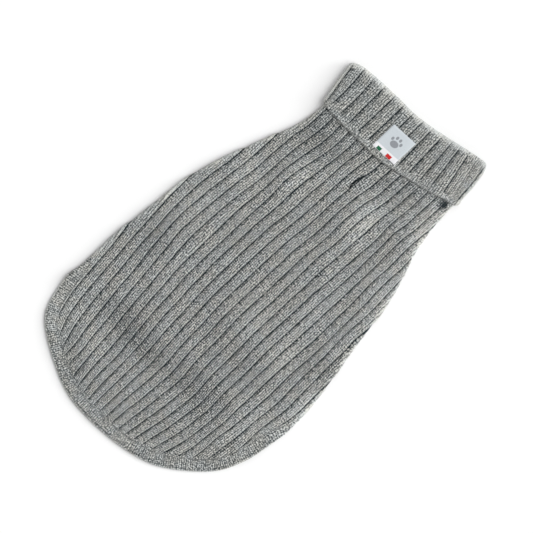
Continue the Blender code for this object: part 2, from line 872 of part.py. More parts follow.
def leash_slit_cutter():
    """A bowed lens through the back alone, along the centre groove."""
    low, high = np.array(SLIT_LOW), np.array(SLIT_HIGH)
    along = high - low
    length = math.hypot(*along)
    aside = np.array([-along[1], along[0]]) / length
    between_layers, above_ribs = WALL + LAYER_GAP / 2, 4 * WALL + RIB_HEIGHT + LAYER_GAP
    steps = 10
    bm = bmesh.new()
    rim = []
    for side, order in ((0.5, range(steps)), (-0.5, range(steps, 0, -1))):
        for step in order:
            t = step / steps
            bulge = math.sin(math.pi * t)
            point = low + along * t + aside * bulge * (SLIT_BOW - side * SLIT_WIDTH)
            rim.append(bm.verts.new((*point, between_layers)))
    bottom = bm.faces.new(rim)
    lifted = bmesh.ops.extrude_face_region(bm, geom=[bottom])["geom"]
    raised = [item for item in lifted if isinstance(item, bmesh.types.BMVert)]
    bmesh.ops.translate(bm, vec=(0, 0, above_ribs), verts=raised)
    bmesh.ops.recalc_face_normals(bm, faces=list(bm.faces))
    return cutter(bm, "leash_slit_cutter", (0, 0, 0), 0)


def main():
    for old in list(bpy.data.objects):
        bpy.data.objects.remove(old, do_unlink=True)
    back, belly = back_panel(), belly_panel()
    for side in ("left", "right"):
        hole = leg_hole_cutter(side)
        cut(back, hole)
        cut(belly, hole)
        leg_cuff(side)
    cut(back, leash_slit_cutter())
    back_hem_band()
    belly_hem_band()
    collar()
    label()


main()
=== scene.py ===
"""The looks of a ribbed knit dog coat, laid flat on its belly with its back up.

The knitted pieces are thin shells on their solids' forms. Each one starts as a fine grid on the
flat, unfolded knitting, where x runs across the back and y along it, and is then laid as the
coat lies: turned round the side folds, over the belly, and under the turned-down collar. All
the tables and functions of the shapes are in millimetres. The finished meshes are in metres.
"""

import math

import bmesh
import bpy
import numpy as np
from bpy.props import FloatProperty, FloatVectorProperty, PointerProperty
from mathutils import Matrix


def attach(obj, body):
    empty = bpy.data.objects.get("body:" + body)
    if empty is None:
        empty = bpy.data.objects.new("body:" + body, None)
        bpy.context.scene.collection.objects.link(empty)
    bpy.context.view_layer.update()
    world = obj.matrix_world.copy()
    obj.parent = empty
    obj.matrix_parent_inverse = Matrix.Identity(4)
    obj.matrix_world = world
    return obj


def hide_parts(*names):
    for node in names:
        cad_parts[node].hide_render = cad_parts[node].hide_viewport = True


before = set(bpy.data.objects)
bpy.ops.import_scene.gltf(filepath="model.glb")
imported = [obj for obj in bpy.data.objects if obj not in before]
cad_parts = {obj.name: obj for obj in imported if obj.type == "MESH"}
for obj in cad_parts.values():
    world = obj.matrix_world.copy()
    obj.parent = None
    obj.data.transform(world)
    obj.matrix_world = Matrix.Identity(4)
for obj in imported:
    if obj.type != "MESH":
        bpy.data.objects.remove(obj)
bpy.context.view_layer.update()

bl_info = {
    "name": "Knitted Dog Coat",
    "version": (1, 0, 0),
    "blender": (4, 5, 0),
    "location": "View3D > Sidebar > Coat",
    "description": "Models the knitted pieces of a dog coat that is laid flat, with their yarn",
    "category": "Add Mesh",
}

MM = 0.001
BODY = "root"

# The layers
WALL = 1.8
SEAM_GAP = 0.3
LAYER_GAP = 1.2
BAND_WIDTH, BAND_THICK = 12.5, 2.5
NECK_GAP = 0.3
NECK_LAP = 11.5  # how far the body reaches up under the turned-down collar
NECK_SEAM = 0.5
NECK_RAMP, NECK_FLAT = 20.0, 6.0
INNER_TUBE = (NECK_GAP, NECK_GAP + WALL)
OUTER_TURN = (INNER_TUBE[1] + SEAM_GAP, INNER_TUBE[1] + SEAM_GAP + WALL)
NECK_MID = OUTER_TURN[1]
NECK_ROW, TAIL_ROW = 176.0, -230.0
DROP_RUN = 21.0
DROP_CENTRE, DROP_SIDE = -121.0, -152.0
DROP_SPREAD = (88.0, 124.0)
CALM_AT_FOLD, CALM_AT_NECK = 14.0, 20.0
RIB_FADE_UNDER_COLLAR = 7.0
RIB_FADE_AT_HEM, HEM_RELIEF = 4.5, 0.55
RIB_FADE_TURN = (100.0, 60.0)

# The belly seams, counted in ribs from the first groove right of the back's centre
SEAM_LEFT, SEAM_RIGHT = -15.5, 13.5

# The knitting: one course is one row of stitches
COURSE = 2.2
WALES_PER_RIB = 6
ROW_STEP = 1.62
UNDER_RIB = 0.5  # the share of a rib's relief that the underside has, as grooves only
SHOULDER = 0.6  # the relief at which a rib goes down into its groove
GROOVE_UNEVEN = 0.45  # how much deeper or shallower than usual a groove gets
GROOVE_WAVER = 0.3  # how far a groove strays from its track
STITCH_RELIEF, CLOTH_RELIEF = 0.1, 0.35
SLANT_FROM = 90.0  # from this row on, the rows turn towards the slanted neck

# The collar
COLLAR_FLARE = 0.5
FLARE_REACH = 15.0
WELT = 6.0
COLLAR_RIBS = 6

# The leg holes and the leash slit
LEG_HOLE_Y = 66.0
LEG_HOLE_LONG, LEG_HOLE_WIDE = 36.0, 27.0
LEG_HOLE_TURN = 14.0
CUFF_WIDTH, CUFF_THICK = 8.0, 2.3
SLIT_LOW, SLIT_HIGH = (4.7, 120.2), (7.0, 141.6)
SLIT_WIDTH, SLIT_BOW = 1.8, 1.6
SLIT_LEAN, SLIT_BLUNT = 0.75, 0.4  # below 1: it is widest low down, and its ends are blunt
SLIT_RIM = 0.5  # how far the knitting stands up beside it

# The label
LABEL_WIDE, LABEL_TALL = 30.0, 31.0
LABEL_CENTRE, LABEL_FOOT = 4.9, 168.8
LABEL_RISE, LABEL_LEAN = 0.05, 0.024  # its foot rises to the right, its sides lean to the right

# The belly's hem, a shallow curve between the seams
BELLY_HEM_SIDE, BELLY_HEM_MIDDLE = -97.0, -118.0
BELLY_RIBS = 18
BELLY_STATIONS = 180

# How far each cause moves the yarn's tone, which runs from 0 (dark) to 1 (light)
# Of these, the groove, shaded and slit darkening are painted shade; the crests and the fluffy edges
# get painted highlights
YARN = {
    "strand": 0.3,
    "loop": 0.9,
    "streak": 0.15,
    "fibre": 1.4,
    "ragged": 0.45,
    "groove": 0.8,
    "shaded": 0.1,
    "crest_highlight": 0.06,
    "lines": 0.1,
    "slit": 0.9,
    "fluff": 0.24,
}
YARN_COOL, YARN_WARM = (0.982, 1.0, 1.018, 1.0), (1.018, 1.0, 0.975, 1.0)


class Table:
    """Sizes in named columns, a row for each place, read by a smooth curve through the rows."""

    def __init__(self, columns, *rows):
        ordered = np.array(sorted(rows))
        at = ordered[:, 0]
        self.fine = np.arange(at[0], at[-1] + 0.5, 0.5)
        spot = np.clip(np.searchsorted(at, self.fine, "right") - 1, 0, len(at) - 2)
        gap = at[spot + 1] - at[spot]
        t = np.clip((self.fine - at[spot]) / gap, 0, 1)
        self.curves = {}
        for name, values in zip(columns.split()[1:], ordered[:, 1:].T):
            slope = np.gradient(values, at)
            self.curves[name] = (
                (2 * t**3 - 3 * t**2 + 1) * values[spot]
                + (t**3 - 2 * t**2 + t) * gap * slope[spot]
                + (3 * t**2 - 2 * t**3) * values[spot + 1]
                + (t**3 - t**2) * gap * slope[spot + 1]
            )

    def read(self, name, at):
        return np.interp(at, self.fine, self.curves[name])


# Groove tracks on the back: x = centre + pitch n + spread n n, for groove n
RIBS = Table(
    "y centre pitch spread",
    (190, 23.5, 10.7, -0.07),
    (157, 21.9, 10.7, -0.07),
    (137, 19.9, 10.8, -0.067),
    (116, 15.8, 10.8, -0.062),
    (96, 13.7, 10.8, -0.056),
    (65, 12.7, 11.1, -0.03),
    (34, 9.6, 11.5, 0.0),
    (3, 8.5, 11.6, -0.02),
    (-28, 7.5, 11.6, -0.035),
    (-59, 6.5, 11.4, -0.01),
    (-90, 7.5, 11.2, 0.0),
    (-120, 7.6, 10.9, 0.0),
    (-151, 8.6, 10.6, 0.0),
    (-182, 6.5, 10.2, 0.03),
    (-210, 3.4, 9.3, 0.06),
    (-240, 1.5, 8.4, 0.07),
)

# The lines where the side folds begin on the back; past the belly they run clear of the hem
FOLDS = Table(
    "y left right",
    (195, -72.9, 90.0),
    (176, -72.9, 90.0),
    (158, -72.7, 91.6),
    (146, -73.7, 92.6),
    (134, -75.7, 94.3),
    (121, -79.8, 96.9),
    (109, -85.0, 101.0),
    (84, -94.8, 109.3),
    (47, -108.7, 117.5),
    (10, -119.0, 121.6),
    (-33, -124.1, 129.0),
    (-82, -130.3, 134.0),
    (-107, -131.2, 133.8),
    (-120, -131.8, 132.2),
    (-132, -132.6, 131.2),
    (-144, -135.4, 133.5),
    (-157, -139.5, 137.0),
    (-240, -145.0, 145.0),
)

# The collar's lower edge and its fold at the top, across the coat
COLLAR_EDGES = Table(
    "x low high",
    (-85, 164.6, 213.5),
    (-80, 163.4, 216.6),
    (-70, 162.2, 219.2),
    (-61, 161.6, 220.2),
    (-27, 161.4, 221.8),
    (1, 162.0, 222.2),
    (15, 163.9, 224.0),
    (29, 166.9, 226.6),
    (56, 172.6, 232.4),
    (79, 180.0, 237.2),
    (98, 184.4, 238.1),
)
COLLAR_HEIGHT = COLLAR_EDGES.read("high", 0) - COLLAR_EDGES.read("low", 0)

# Collar grooves: x at the lower edge and at the fold, for groove n
COLLAR_GROOVES = Table(
    "groove low high",
    (-6, -70.0, -71.2),
    (-3, -30.6, -29.4),
    (0, 9.6, 9.6),
    (3, 49.8, 45.9),
    (4, 63.2, 55.4),
    (5, 77.3, 65.8),
    (6, 87.0, 76.5),
)

# Where the collar's side folds begin, at its lower edge (0) and at its top fold (1)
COLLAR_SIDES = Table(
    "share left right",
    (0, -73.3, 90.6),
    (0.3, -76.1, 90.8),
    (0.5, -78.1, 89.2),
    (0.7, -79.9, 87.2),
    (1, -81.4, 85.4),
)

# Soft forms of the back where the cloth lies uneven: ridges above 0, troughs below
LIFTS = (
    # x, y, half along, half across, turn in degrees, height
    (28, 92, 26, 17, 12, 3.1),
    (-50, 92, 30, 15, -14, 2),
    (-47, 143, 12, 20, 10, 2.3),
    (62, -2, 32, 14, 3, 2),
    (-93, 44, 18, 16, -10, 2.1),
    (40, -64, 15, 46, 3, 3),
    (-92, -34, 32, 14, -4, 2.2),
    (-40, -100, 22, 34, 0, 1.8),
    (-72, -186, 16, 34, 14, 2),
    (48, -176, 18, 44, -8, 1.8),
    (8, -10, 24, 26, 0, -1),
    (-20, 30, 34, 16, -4, 1.3),
    (94, -150, 26, 16, -12, 1.6),
    (86, 84, 26, 12, -8, 1.7),
    (-4, 128, 14, 14, 0, -0.9),
)
PUFF = 1.3  # how far the back stands off between the side folds, where nothing else moves it

# Painted light and shade: soft patches where the knitting is painted paler (above 0) or darker, in
# the yarn's tone, as its folds and edges catch or lose the light
PAINTED_LIGHT_AND_SHADE = (
    # x, y, half along, half across, turn in degrees, tone
    (93, 139, 24, 13, -22, 0.2),
    (112, 71, 30, 13, -10, 0.13),
    (132, -69, 26, 10, 4, 0.12),
    (104, -122, 24, 14, -6, 0.08),
    (41, 100, 22, 14, 0, 0.1),
    (-60, -142, 9, 30, 0, -0.12),
    (36, -145, 8, 36, 0, -0.12),
    (-122, 2, 40, 10, -4, 0.1),
    (-92, 72, 36, 12, -18, 0.08),
    (-132, -170, 14, 12, 0, 0.1),
    (68, 6, 26, 12, 4, 0.07),
    (-48, 136, 18, 16, 0, -0.07),
    (111, -179, 14, 14, 0, -0.07),
    (-134, -108, 24, 9, 0, 0.06),
    (8, -82, 20, 22, 0, -0.06),
    (-101, -62, 18, 14, 0, -0.06),
    # a painted shadow in the pocket where the neck goes in under the collar's corner
    (85, 176.5, 3.6, 3.6, 20, -0.9),
    (-34, -150, 9, 26, 0, -0.11),
    (-63, -128, 10, 16, 0, -0.08),
    (50, -127, 10, 22, 0, -0.08),
    (57, -86, 12, 14, 0, -0.07),
    (126, -28, 18, 9, 0, -0.11),
    (36, 118, 14, 13, 0, 0.1),
    (-58, 126, 16, 13, 0, -0.07),
    (26, 152, 9, 14, 0, -0.08),
    (95, -141, 14, 14, 0, 0.08),
    (32, -47, 18, 10, 0, 0.07),
    (134, -86, 22, 8, 0, 0.08),
    (-110, 46, 20, 9, -18, 0.08),
    (-98, 2, 22, 11, -4, 0.07),
    (-22, 141, 10, 12, 0, -0.07),
    (77, -46, 14, 12, 0, 0.08),
    (86, 68, 18, 10, -8, 0.07),
    (-133, -165, 14, 9, 0, 0.07),
    (-115, -197, 11, 12, 0, 0.08),
    (-41, 94, 14, 13, 0, 0.06),
    (-54, 153, 12, 16, 0, -0.07),
    (52, 161, 8, 14, 18, -0.08),
    (57, -157, 9, 16, 0, -0.08),
    (-69, -211, 10, 16, -24, -0.08),
    (108, -44, 12, 9, 0, -0.08),
    (-16, -140, 10, 14, 0, -0.07),
    (24, -129, 9, 12, 0, -0.07),
    (-126, -31, 14, 8, 0, -0.07),
    (90, 167, 8, 6, 0, 0.1),
    (-98, -69, 10, 10, 0, -0.05),
    (48, 61, 12, 10, 0, 0.05),
    (-69, 61, 12, 10, 0, 0.05),
    (-71, -174, 12, 16, 0, 0.05),
    (-113, -171, 14, 8, 0, 0.05),
    (0, 131, 9, 5, 0, 0.1),
    (127, -140, 10, 6, 0, -0.1),
    (106, 30, 9, 9, 0, 0.07),
    (-117, 23, 9, 9, 0, -0.07),
    (88, -64, 9, 9, 0, 0.07),
    (121, -161, 8, 8, 0, 0.07),
    (-98, 75, 9, 9, 0, -0.06),
    (68, -170, 9, 9, 0, -0.06),
    (-47, -165, 9, 9, 0, -0.06),
    (-55, -218, 6, 9, 0, -0.06),
    (-134, -126, 9, 7, 0, 0.07),
    (131, -65, 10, 6, 0, 0.06),
    (123, -6, 9, 6, 0, 0.06),
)

# The collar's patches of painted light and shade, in the same columns
COLLAR_PAINTED_LIGHT_AND_SHADE = (
    (-46, 171, 7, 14, 0, -0.06),
    (34, 222, 6, 16, 0, 0.07),
    (-41, 216, 6, 14, 0, 0.07),
    (79, 233, 6, 10, 0, -0.1),
)

# The hem's outer edge on the flat knitting, from the left belly seam round the tail to the right
HEM_POINTS = (
    (-166.0, -97.0), (-153.5, -101.5), (-146.0, -114.0), (-141.0, -131.0), (-137.3, -152.0),
    (-132.2, -178.0), (-121.0, -198.0), (-90.0, -218.2), (-51.0, -234.6), (-12.0, -237.8),
    (30.0, -233.8), (66.0, -222.3), (97.0, -199.6), (116.5, -178.0), (127.6, -153.0),
    (132.8, -131.0), (136.6, -116.0), (141.6, -106.2), (149.2, -99.4), (158.8, -97.0),
)

# A rib from one groove to the next: share of the pitch, relief, and the wale boundary count
RIB_PROFILE = (
    (0.0, -0.62, 0.0),
    (0.05, -0.3, 0.2),
    (0.11, 0.1, 0.45),
    (0.227, 0.6, 1.0),
    (0.318, 0.8, 1.5),
    (0.409, 0.84, 2.0),
    (0.5, 1.0, 2.5),
    (0.591, 0.5, 3.0),
    (0.69, 1.02, 3.5),
    (0.775, 0.74, 4.0),
    (0.86, 1.16, 4.45),
    (0.915, 0.75, 4.85),
    (0.96, -0.1, 5.45),
)
RIB_SHARES, RIB_RELIEFS, RIB_WALES = (list(column) for column in zip(*RIB_PROFILE))
RIB_TOP = max(RIB_RELIEFS)

# Where grooves run aside from their even spacing: the knitting is pulled there
TUGS = (
    # groove, y, reach in grooves, reach along, shift
    (-4.5, 172, 4.0, 26, -4.4),
    (-2.3, 136, 1.8, 17, -3.2),
    (-5.0, 80, 1.25, 26, -5.2),
    (3.7, 98, 1.0, 24, 4.6),
    (5.4, 90, 1.3, 30, 2.8),
    (7.6, 97, 1.5, 22, 4.6),
    (4.4, 50, 1.3, 26, 1.7),
    (2.0, 45, 0.8, 20, -1.4),
    (9.6, 22, 1.3, 34, -5.4),
    (-10.8, -32, 1.5, 30, 4.6),
    (-5.6, -25, 1.0, 30, 2.4),
    (7.4, -22, 0.9, 34, 2.2),
    (2.6, -140, 3.6, 17, 1.9),
    (-5.4, -172, 1.6, 16, 1.6),
    (-11.6, -165, 1.9, 42, -4.2),
    (8.3, -163, 1.0, 24, -3.6),
    (11.0, -120, 1.0, 26, -4.4),
    (10.4, -188, 1.2, 18, -4.6),
    (-8.8, -212, 2.0, 16, -5.0),
    (6.6, -90, 0.8, 18, -1.2),
    (-4.0, -104, 1.6, 20, -0.9),
)


def ease(t):
    t = np.clip(t, 0.0, 1.0)
    return t * t * (3 - 2 * t)


class Wander:
    """Smooth unevenness from -1 to 1, the same each time: seeded values on a lattice."""

    SIDE = 192

    def __init__(self, seed, step_x, step_y):
        self.steps = step_x, step_y
        self.values = np.random.default_rng(seed).uniform(-1, 1, (self.SIDE, self.SIDE))

    def at(self, x, y):
        spot = [np.asarray(a) / step + self.SIDE / 2 for a, step in zip((x, y), self.steps)]
        low = [np.clip(np.floor(a).astype(int), 0, self.SIDE - 2) for a in spot]
        (i, j), (s, t) = low, [ease(a - b) for a, b in zip(spot, low)]
        rows = [self.values[i, k] * (1 - s) + self.values[i + 1, k] * s for k in (j, j + 1)]
        return rows[0] * (1 - t) + rows[1] * t


GROOVE_WANDER = Wander(3, 1.0, 17.0)
GROOVE_DEPTH = Wander(5, 1.0, 9.0)
STITCH_UNEVEN = Wander(8, 0.21, COURSE)
CLOTH_UNEVEN = Wander(13, 13.0, 17.0)
BAND_UNEVEN = Wander(21, 2.35, 4.0)


def groove_x(n, y):
    """Where a rib coordinate runs: evenly spaced, pulled aside by the tugs, a little unsteady."""
    inner = ease((n - SEAM_LEFT) / 3) * ease((SEAM_RIGHT - n) / 2)
    aside = GROOVE_WAVER * GROOVE_WANDER.at(n, y)
    for groove, at_y, across, along, shift in TUGS:
        aside = aside + shift * np.exp(-(((n - groove) / across) ** 2) - ((y - at_y) / along) ** 2)
    even = RIBS.read("centre", y) + RIBS.read("pitch", y) * n + RIBS.read("spread", y) * n * n
    return even + aside * inner


def under_collar(x, y):
    """How far a place lies inside the collar's lower edge."""
    return y - COLLAR_EDGES.read("low", x)


def collar_flare(inside_edge):
    """How much higher the collar lies this far inside its lower edge."""
    return COLLAR_FLARE * (1 - ease(inside_edge / FLARE_REACH))


def neck_rise(x, y):
    """0 on the body, 1 where it lies on the collar's inner side."""
    return ease((under_collar(x, y) + NECK_FLAT + NECK_RAMP) / NECK_RAMP)


def floor_height(x, y):
    """Underside of the coat's lower layer, which climbs onto the collar's at the neck."""
    return (NECK_MID - INNER_TUBE[1]) * neck_rise(x, y)


def drop(x, y):
    """1 over the belly, 0 on the floor past it."""
    aside = ease((np.abs(x) - DROP_SPREAD[0]) / (DROP_SPREAD[1] - DROP_SPREAD[0]))
    start = DROP_CENTRE + (DROP_SIDE - DROP_CENTRE) * aside
    return 1 - ease((start - y) / DROP_RUN)


def patches(table, x, y):
    """The sum of soft oval patches, each of its own size, turn and strength."""
    total = np.zeros(np.shape(x))
    for at_x, at_y, along, across, turn, strength in table:
        c, s = math.cos(math.radians(turn)), math.sin(math.radians(turn))
        off_x, off_y = x - at_x, y - at_y
        far = ((off_x * c - off_y * s) / across) ** 2 + ((off_x * s + off_y * c) / along) ** 2
        total = total + strength * np.exp(-far)
    return total


def lift(x, y):
    """The soft ridges and troughs of the back."""
    total = PUFF + CLOTH_RELIEF * CLOTH_UNEVEN.at(x, y) + patches(LIFTS, x, y)
    softness = 0.5
    return (total + np.sqrt(total**2 + softness**2)) / 2


def fold_radius(x, y):
    """Radius of the cloth's inner side at a side fold."""
    return (LAYER_GAP + (2 * NECK_GAP - LAYER_GAP) * neck_rise(x, y)) / 2


def top_height(x, y):
    """Inner side of the coat's upper layer."""
    level = floor_height(x, y) + WALL + 2 * fold_radius(x, y)
    side = np.minimum(x - FOLDS.read("left", y), FOLDS.read("right", y) - x)
    free = ease(side / CALM_AT_FOLD) * ease(-under_collar(x, y) / CALM_AT_NECK)
    return level * drop(x, y) + lift(x, y) * free


def past_fold(turn):
    """0 on the outside of a fold, 1 on its underside, where the ribs have faded."""
    start, run = (math.radians(angle) for angle in RIB_FADE_TURN)
    return ease((turn - start) / run)


def lay(x, y, out, relief=0.0, thick=WALL):
    """Points of the flat knitting, this far out from its inner side, on the laid coat."""
    left, right = FOLDS.read("left", y), FOLDS.read("right", y)
    on_left = x < (left + right) / 2
    line = np.where(on_left, left, right)
    away = np.where(on_left, -1.0, 1.0)
    line_radius, line_floor = fold_radius(line, y), floor_height(line, y)
    turn = (x - line) * away / (line_radius + WALL / 2)
    covered = 1 - ease(under_collar(np.clip(x, left, right), y) / RIB_FADE_UNDER_COLLAR)
    beneath = past_fold(turn)
    under_relief = np.minimum(relief - RIB_TOP, 0) * UNDER_RIB
    out = out + covered * (relief * (1 - beneath) + under_relief * beneath)
    radius = line_radius - (thick - WALL) / 2
    middle = line_floor + thick + radius
    round_x = line + away * (radius + out) * np.sin(np.clip(turn, 0, math.pi))
    round_z = middle + (radius + out) * np.cos(np.clip(turn, 0, math.pi))
    under_x = line - away * (turn - math.pi) * (line_radius + WALL / 2)
    under_z = floor_height(under_x, y) + thick - out
    laid_x = np.where(turn <= 0, x, np.where(turn < math.pi, round_x, under_x))
    laid_z = np.where(
        turn <= 0, top_height(x, y) + out, np.where(turn < math.pi, round_z, under_z)
    )
    return np.column_stack([laid_x, y + np.zeros_like(laid_x), laid_z])


def through(points, step):
    """Evenly spaced places on a smooth curve through the points."""
    given = np.array(points, float)
    ends = np.vstack([2 * given[0] - given[1], given, 2 * given[-1] - given[-2]])
    fine = []
    for a, b, c, d in zip(ends, ends[1:], ends[2:], ends[3:]):
        for t in np.linspace(0, 1, 24, endpoint=False):
            fine.append(
                0.5 * (2 * b + (c - a) * t + (2 * a - 5 * b + 4 * c - d) * t**2
                       + (3 * b - a - 3 * c + d) * t**3)
            )
    fine = np.array(fine + [given[-1]])
    run = np.concatenate([[0], np.cumsum(np.hypot(*np.diff(fine, axis=0).T))])
    at = np.linspace(0, run[-1], round(run[-1] / step) + 1)
    return np.column_stack([np.interp(at, run, fine[:, 0]), np.interp(at, run, fine[:, 1])])


def hem_line(step):
    """Places on the hem's outer edge, and at each the direction into the cloth."""
    line = through(HEM_POINTS, step)
    along = np.gradient(line, axis=0)
    inward = np.column_stack([-along[:, 1], along[:, 0]])
    inward /= np.hypot(*inward.T)[:, None]
    ends = {0: SEAM_LEFT, -1: SEAM_RIGHT}
    for end, seam in ends.items():
        y = line[end, 1]
        line[end, 0] = groove_x(seam, y)
        inward[end] = (groove_x(seam, y + BAND_WIDTH) - groove_x(seam, y)) / BAND_WIDTH, 1
    return line, inward


HEM_STEP = 4.2
HEM_LINE, HEM_INWARD = hem_line(HEM_STEP)
BAND_WALE = 2.35  # how wide a stitch of the bands is
BAND_ROUNDING = 2.6  # how far from its outer edge a band begins to round off
BAND_TURN_IN = 10.6  # where the line lies along which a band is turned in


def band_thickness(across):
    """A doubled band is rounded along its outer edge."""
    past = np.clip((across - BAND_WIDTH + BAND_ROUNDING) / BAND_ROUNDING, 0, 1)
    return BAND_THICK * (0.24 + 0.76 * np.sqrt(1 - 0.999 * past**2))


def band_relief(along, across):
    """Uneven wales across a band, and a shallow line where it is turned in."""
    at = along + 0.9 * BAND_UNEVEN.at(along * 0.4, across)
    wales = 0.2 * np.cos(2 * math.pi * at / BAND_WALE) * ease(across / 1.5)
    lumps = 0.22 * BAND_UNEVEN.at(along, across * 2.2)
    line = -0.3 * np.exp(-(((across - BAND_TURN_IN) / 0.55) ** 2))
    return (wales + lumps) * ease((BAND_WIDTH - across) / 1.4) + line


def inside_hem(x, y):
    """How far inside the hem's outer edge each place is."""
    best, inside = np.full(len(x), np.inf), np.zeros(len(x))
    ends = zip(HEM_LINE[:-1], HEM_LINE[1:], HEM_INWARD[:-1] + HEM_INWARD[1:])
    for start, end, inward in ends:
        along = end - start
        share = ((x - start[0]) * along[0] + (y - start[1]) * along[1]) / (along @ along)
        share = np.clip(share, 0, 1)
        off_x, off_y = x - start[0] - along[0] * share, y - start[1] - along[1] * share
        far = np.hypot(off_x, off_y)
        closer = far < best
        best = np.where(closer, far, best)
        inside = np.where(closer, off_x * inward[0] + off_y * inward[1], inside)
    return np.copysign(best, inside)


def rib_columns(first, last, shares=RIB_SHARES):
    """Rib coordinates of a grid's columns: the same shares of each pitch."""
    columns = {first, last}
    for n in range(math.floor(first), math.ceil(last) + 1):
        columns |= {n + share for share in shares}
    return np.array(sorted(column for column in columns if first <= column <= last))


def rib_relief(n, y):
    """Relief of the knitting on a rib coordinate: grooves of uneven depth between uneven ribs."""
    relief = np.interp(n - np.floor(n), RIB_SHARES + [1.0], RIB_RELIEFS + RIB_RELIEFS[:1])
    depth = 1 + GROOVE_UNEVEN * GROOVE_DEPTH.at(np.round(n), y)
    relief = np.where(relief < SHOULDER, SHOULDER - (SHOULDER - relief) * depth, relief)
    return relief + STITCH_RELIEF * STITCH_UNEVEN.at(n, y)


def wale_number(n):
    """A rib coordinate counted in wales: six to a rib, the groove's own one narrow."""
    within = np.interp(n - np.floor(n), RIB_SHARES + [1.0], RIB_WALES + [WALES_PER_RIB])
    return np.floor(n) * WALES_PER_RIB + within


def row_y(x, row):
    """A row's place: straight across the coat, and more slanted the nearer it is to the neck."""
    slant = ease((row - SLANT_FROM) / (NECK_ROW - SLANT_FROM))
    neck = COLLAR_EDGES.read("low", x) + NECK_LAP
    return row + (neck - NECK_ROW) * slant


class Shell:
    """One piece of knitting: an outer and an inner sheet that are trimmed, laid and joined."""

    LAYERS = ("u", "v", "x", "y", "outer")
    MARKS = ("ribs", "slit", "pale", "fluff")

    def __init__(self, place, outer, inner):
        """Two grids of columns and rows on the flat knitting: place(u, v) gives x and y."""
        self.bm = bmesh.new()
        kinds = self.bm.verts.layers
        self.layers = {key: kinds.float.new(key) for key in (*self.LAYERS[:4], *self.MARKS)}
        self.layers["outer"] = kinds.int.new("outer")
        self.bm.loops.layers.uv.new("knit")
        for (across, along), is_outer in ((outer, 1), (inner, 0)):
            grid = bmesh.ops.create_grid(
                self.bm, x_segments=len(across) - 1, y_segments=len(along) - 1, size=1
            )["verts"]
            u, v = (a.ravel() for a in np.meshgrid(across, along))
            columns = (u, v, *place(u, v), [is_outer] * len(u))
            for name, values in zip(self.LAYERS, columns):
                layer = self.layers[name]
                for vert, value in zip(grid, values):
                    vert[layer] = value

    def read(self, name, verts=None):
        layer = self.layers[name]
        return np.array([vert[layer] for vert in verts or self.bm.verts])

    def refine(self, wanted):
        """Halves the edges where wanted(x, y) holds, for a finer cut there."""
        chosen = wanted(self.read("x"), self.read("y"))
        here = {vert for vert, choice in zip(self.bm.verts, chosen) if choice}
        edges = [edge for edge in self.bm.edges if here.issuperset(edge.verts)]
        bmesh.ops.subdivide_edges(self.bm, edges=edges, cuts=1, use_grid_fill=True)

    def trim(self, keep):
        """Cuts away what keep(x, y) puts below 0, a distance on the flat knitting."""
        x, y = self.read("x"), self.read("y")
        for vert, distance, along in zip(self.bm.verts, keep(x, y), y):
            vert.co = (distance, along, 0)
        geometry = [*self.bm.verts, *self.bm.edges, *self.bm.faces]
        bmesh.ops.bisect_plane(
            self.bm, geom=geometry, dist=1e-4, plane_co=(0, 0, 0), plane_no=(-1, 0, 0),
            clear_outer=True,
        )

    def rims(self, outer):
        """The edges of one sheet as loops of vertices, each once round."""
        loops, seen, layer = [], set(), self.layers["outer"]
        for start in self.bm.verts:
            if start in seen or start[layer] != outer or not start.is_boundary:
                continue
            loop, current = [], start
            while current is not None:
                loop.append(current)
                seen.add(current)
                beside = (e.other_vert(current) for e in current.link_edges if e.is_boundary)
                current = next((vert for vert in beside if vert not in seen), None)
            loops.append(loop)
        return loops

    def flat(self, loop):
        return np.column_stack([self.read("x", loop), self.read("y", loop)])

    def turned(self, loop, start, like):
        """The loop from its vertex nearest to a place, going round the same way as another."""
        area = sum(np.cross(a, b) for a, b in zip(like, np.roll(like, -1, 0)))
        flat = self.flat(loop)
        own = sum(np.cross(a, b) for a, b in zip(flat, np.roll(flat, -1, 0)))
        if (area > 0) != (own > 0):
            loop = loop[::-1]
        first = int(np.argmin(np.hypot(*(self.flat(loop) - start).T)))
        return loop[first:] + loop[:first]

    def join(self):
        """Closes the piece: faces between the edges of its outer and inner sheets."""
        outer, inner = self.rims(1), self.rims(0)
        for rim in outer:
            flat = self.flat(rim)
            middle = flat.mean(axis=0)
            other = min(inner, key=lambda loop: np.hypot(*(self.flat(loop).mean(0) - middle)))
            corner = flat[int(np.argmax(flat[:, 1] - flat[:, 0]))]
            rim = self.turned(rim, corner, flat)
            self.zip(rim, self.turned(other, corner, flat))

    def zip(self, a, b):
        runs = []
        for loop in (a, b):
            flat = self.flat(loop + loop[:1])
            run = np.concatenate([[0], np.cumsum(np.hypot(*np.diff(flat, axis=0).T))])
            runs.append(run / run[-1])
        a, b = a + a[:1], b + b[:1]
        i = j = 0
        while i < len(a) - 1 or j < len(b) - 1:
            if j == len(b) - 1 or (i < len(a) - 1 and runs[0][i + 1] <= runs[1][j + 1]):
                self.bm.faces.new((a[i], a[i + 1], b[j]))
                i += 1
            else:
                self.bm.faces.new((a[i], b[j + 1], b[j]))
                j += 1

    def lay(self, put):
        """Puts each point: put(u, v, x, y, outer) gives the laid points in millimetres."""
        values = [self.read(name) for name in self.LAYERS]
        for vert, point in zip(self.bm.verts, put(*values)):
            vert.co = point * MM

    def flat_area(self):
        """The area of the outer sheet before it was laid, in square metres."""
        for vert, x, y in zip(self.bm.verts, self.read("x"), self.read("y")):
            vert.co = (x * MM, y * MM, 0)
        outer = self.layers["outer"]
        faces = (f for f in self.bm.faces if f.verts[0][outer] and f.verts[1][outer])
        return sum(face.calc_area() for face in faces)

    def mark(self, **marks):
        """Gives each vertex the numbers that the yarn reads: name=value(x, y, outer)."""
        places = [self.read(name) for name in ("x", "y", "outer")]
        for name, value in marks.items():
            layer = self.layers[name]
            for vert, share in zip(self.bm.verts, value(*places)):
                vert[layer] = share

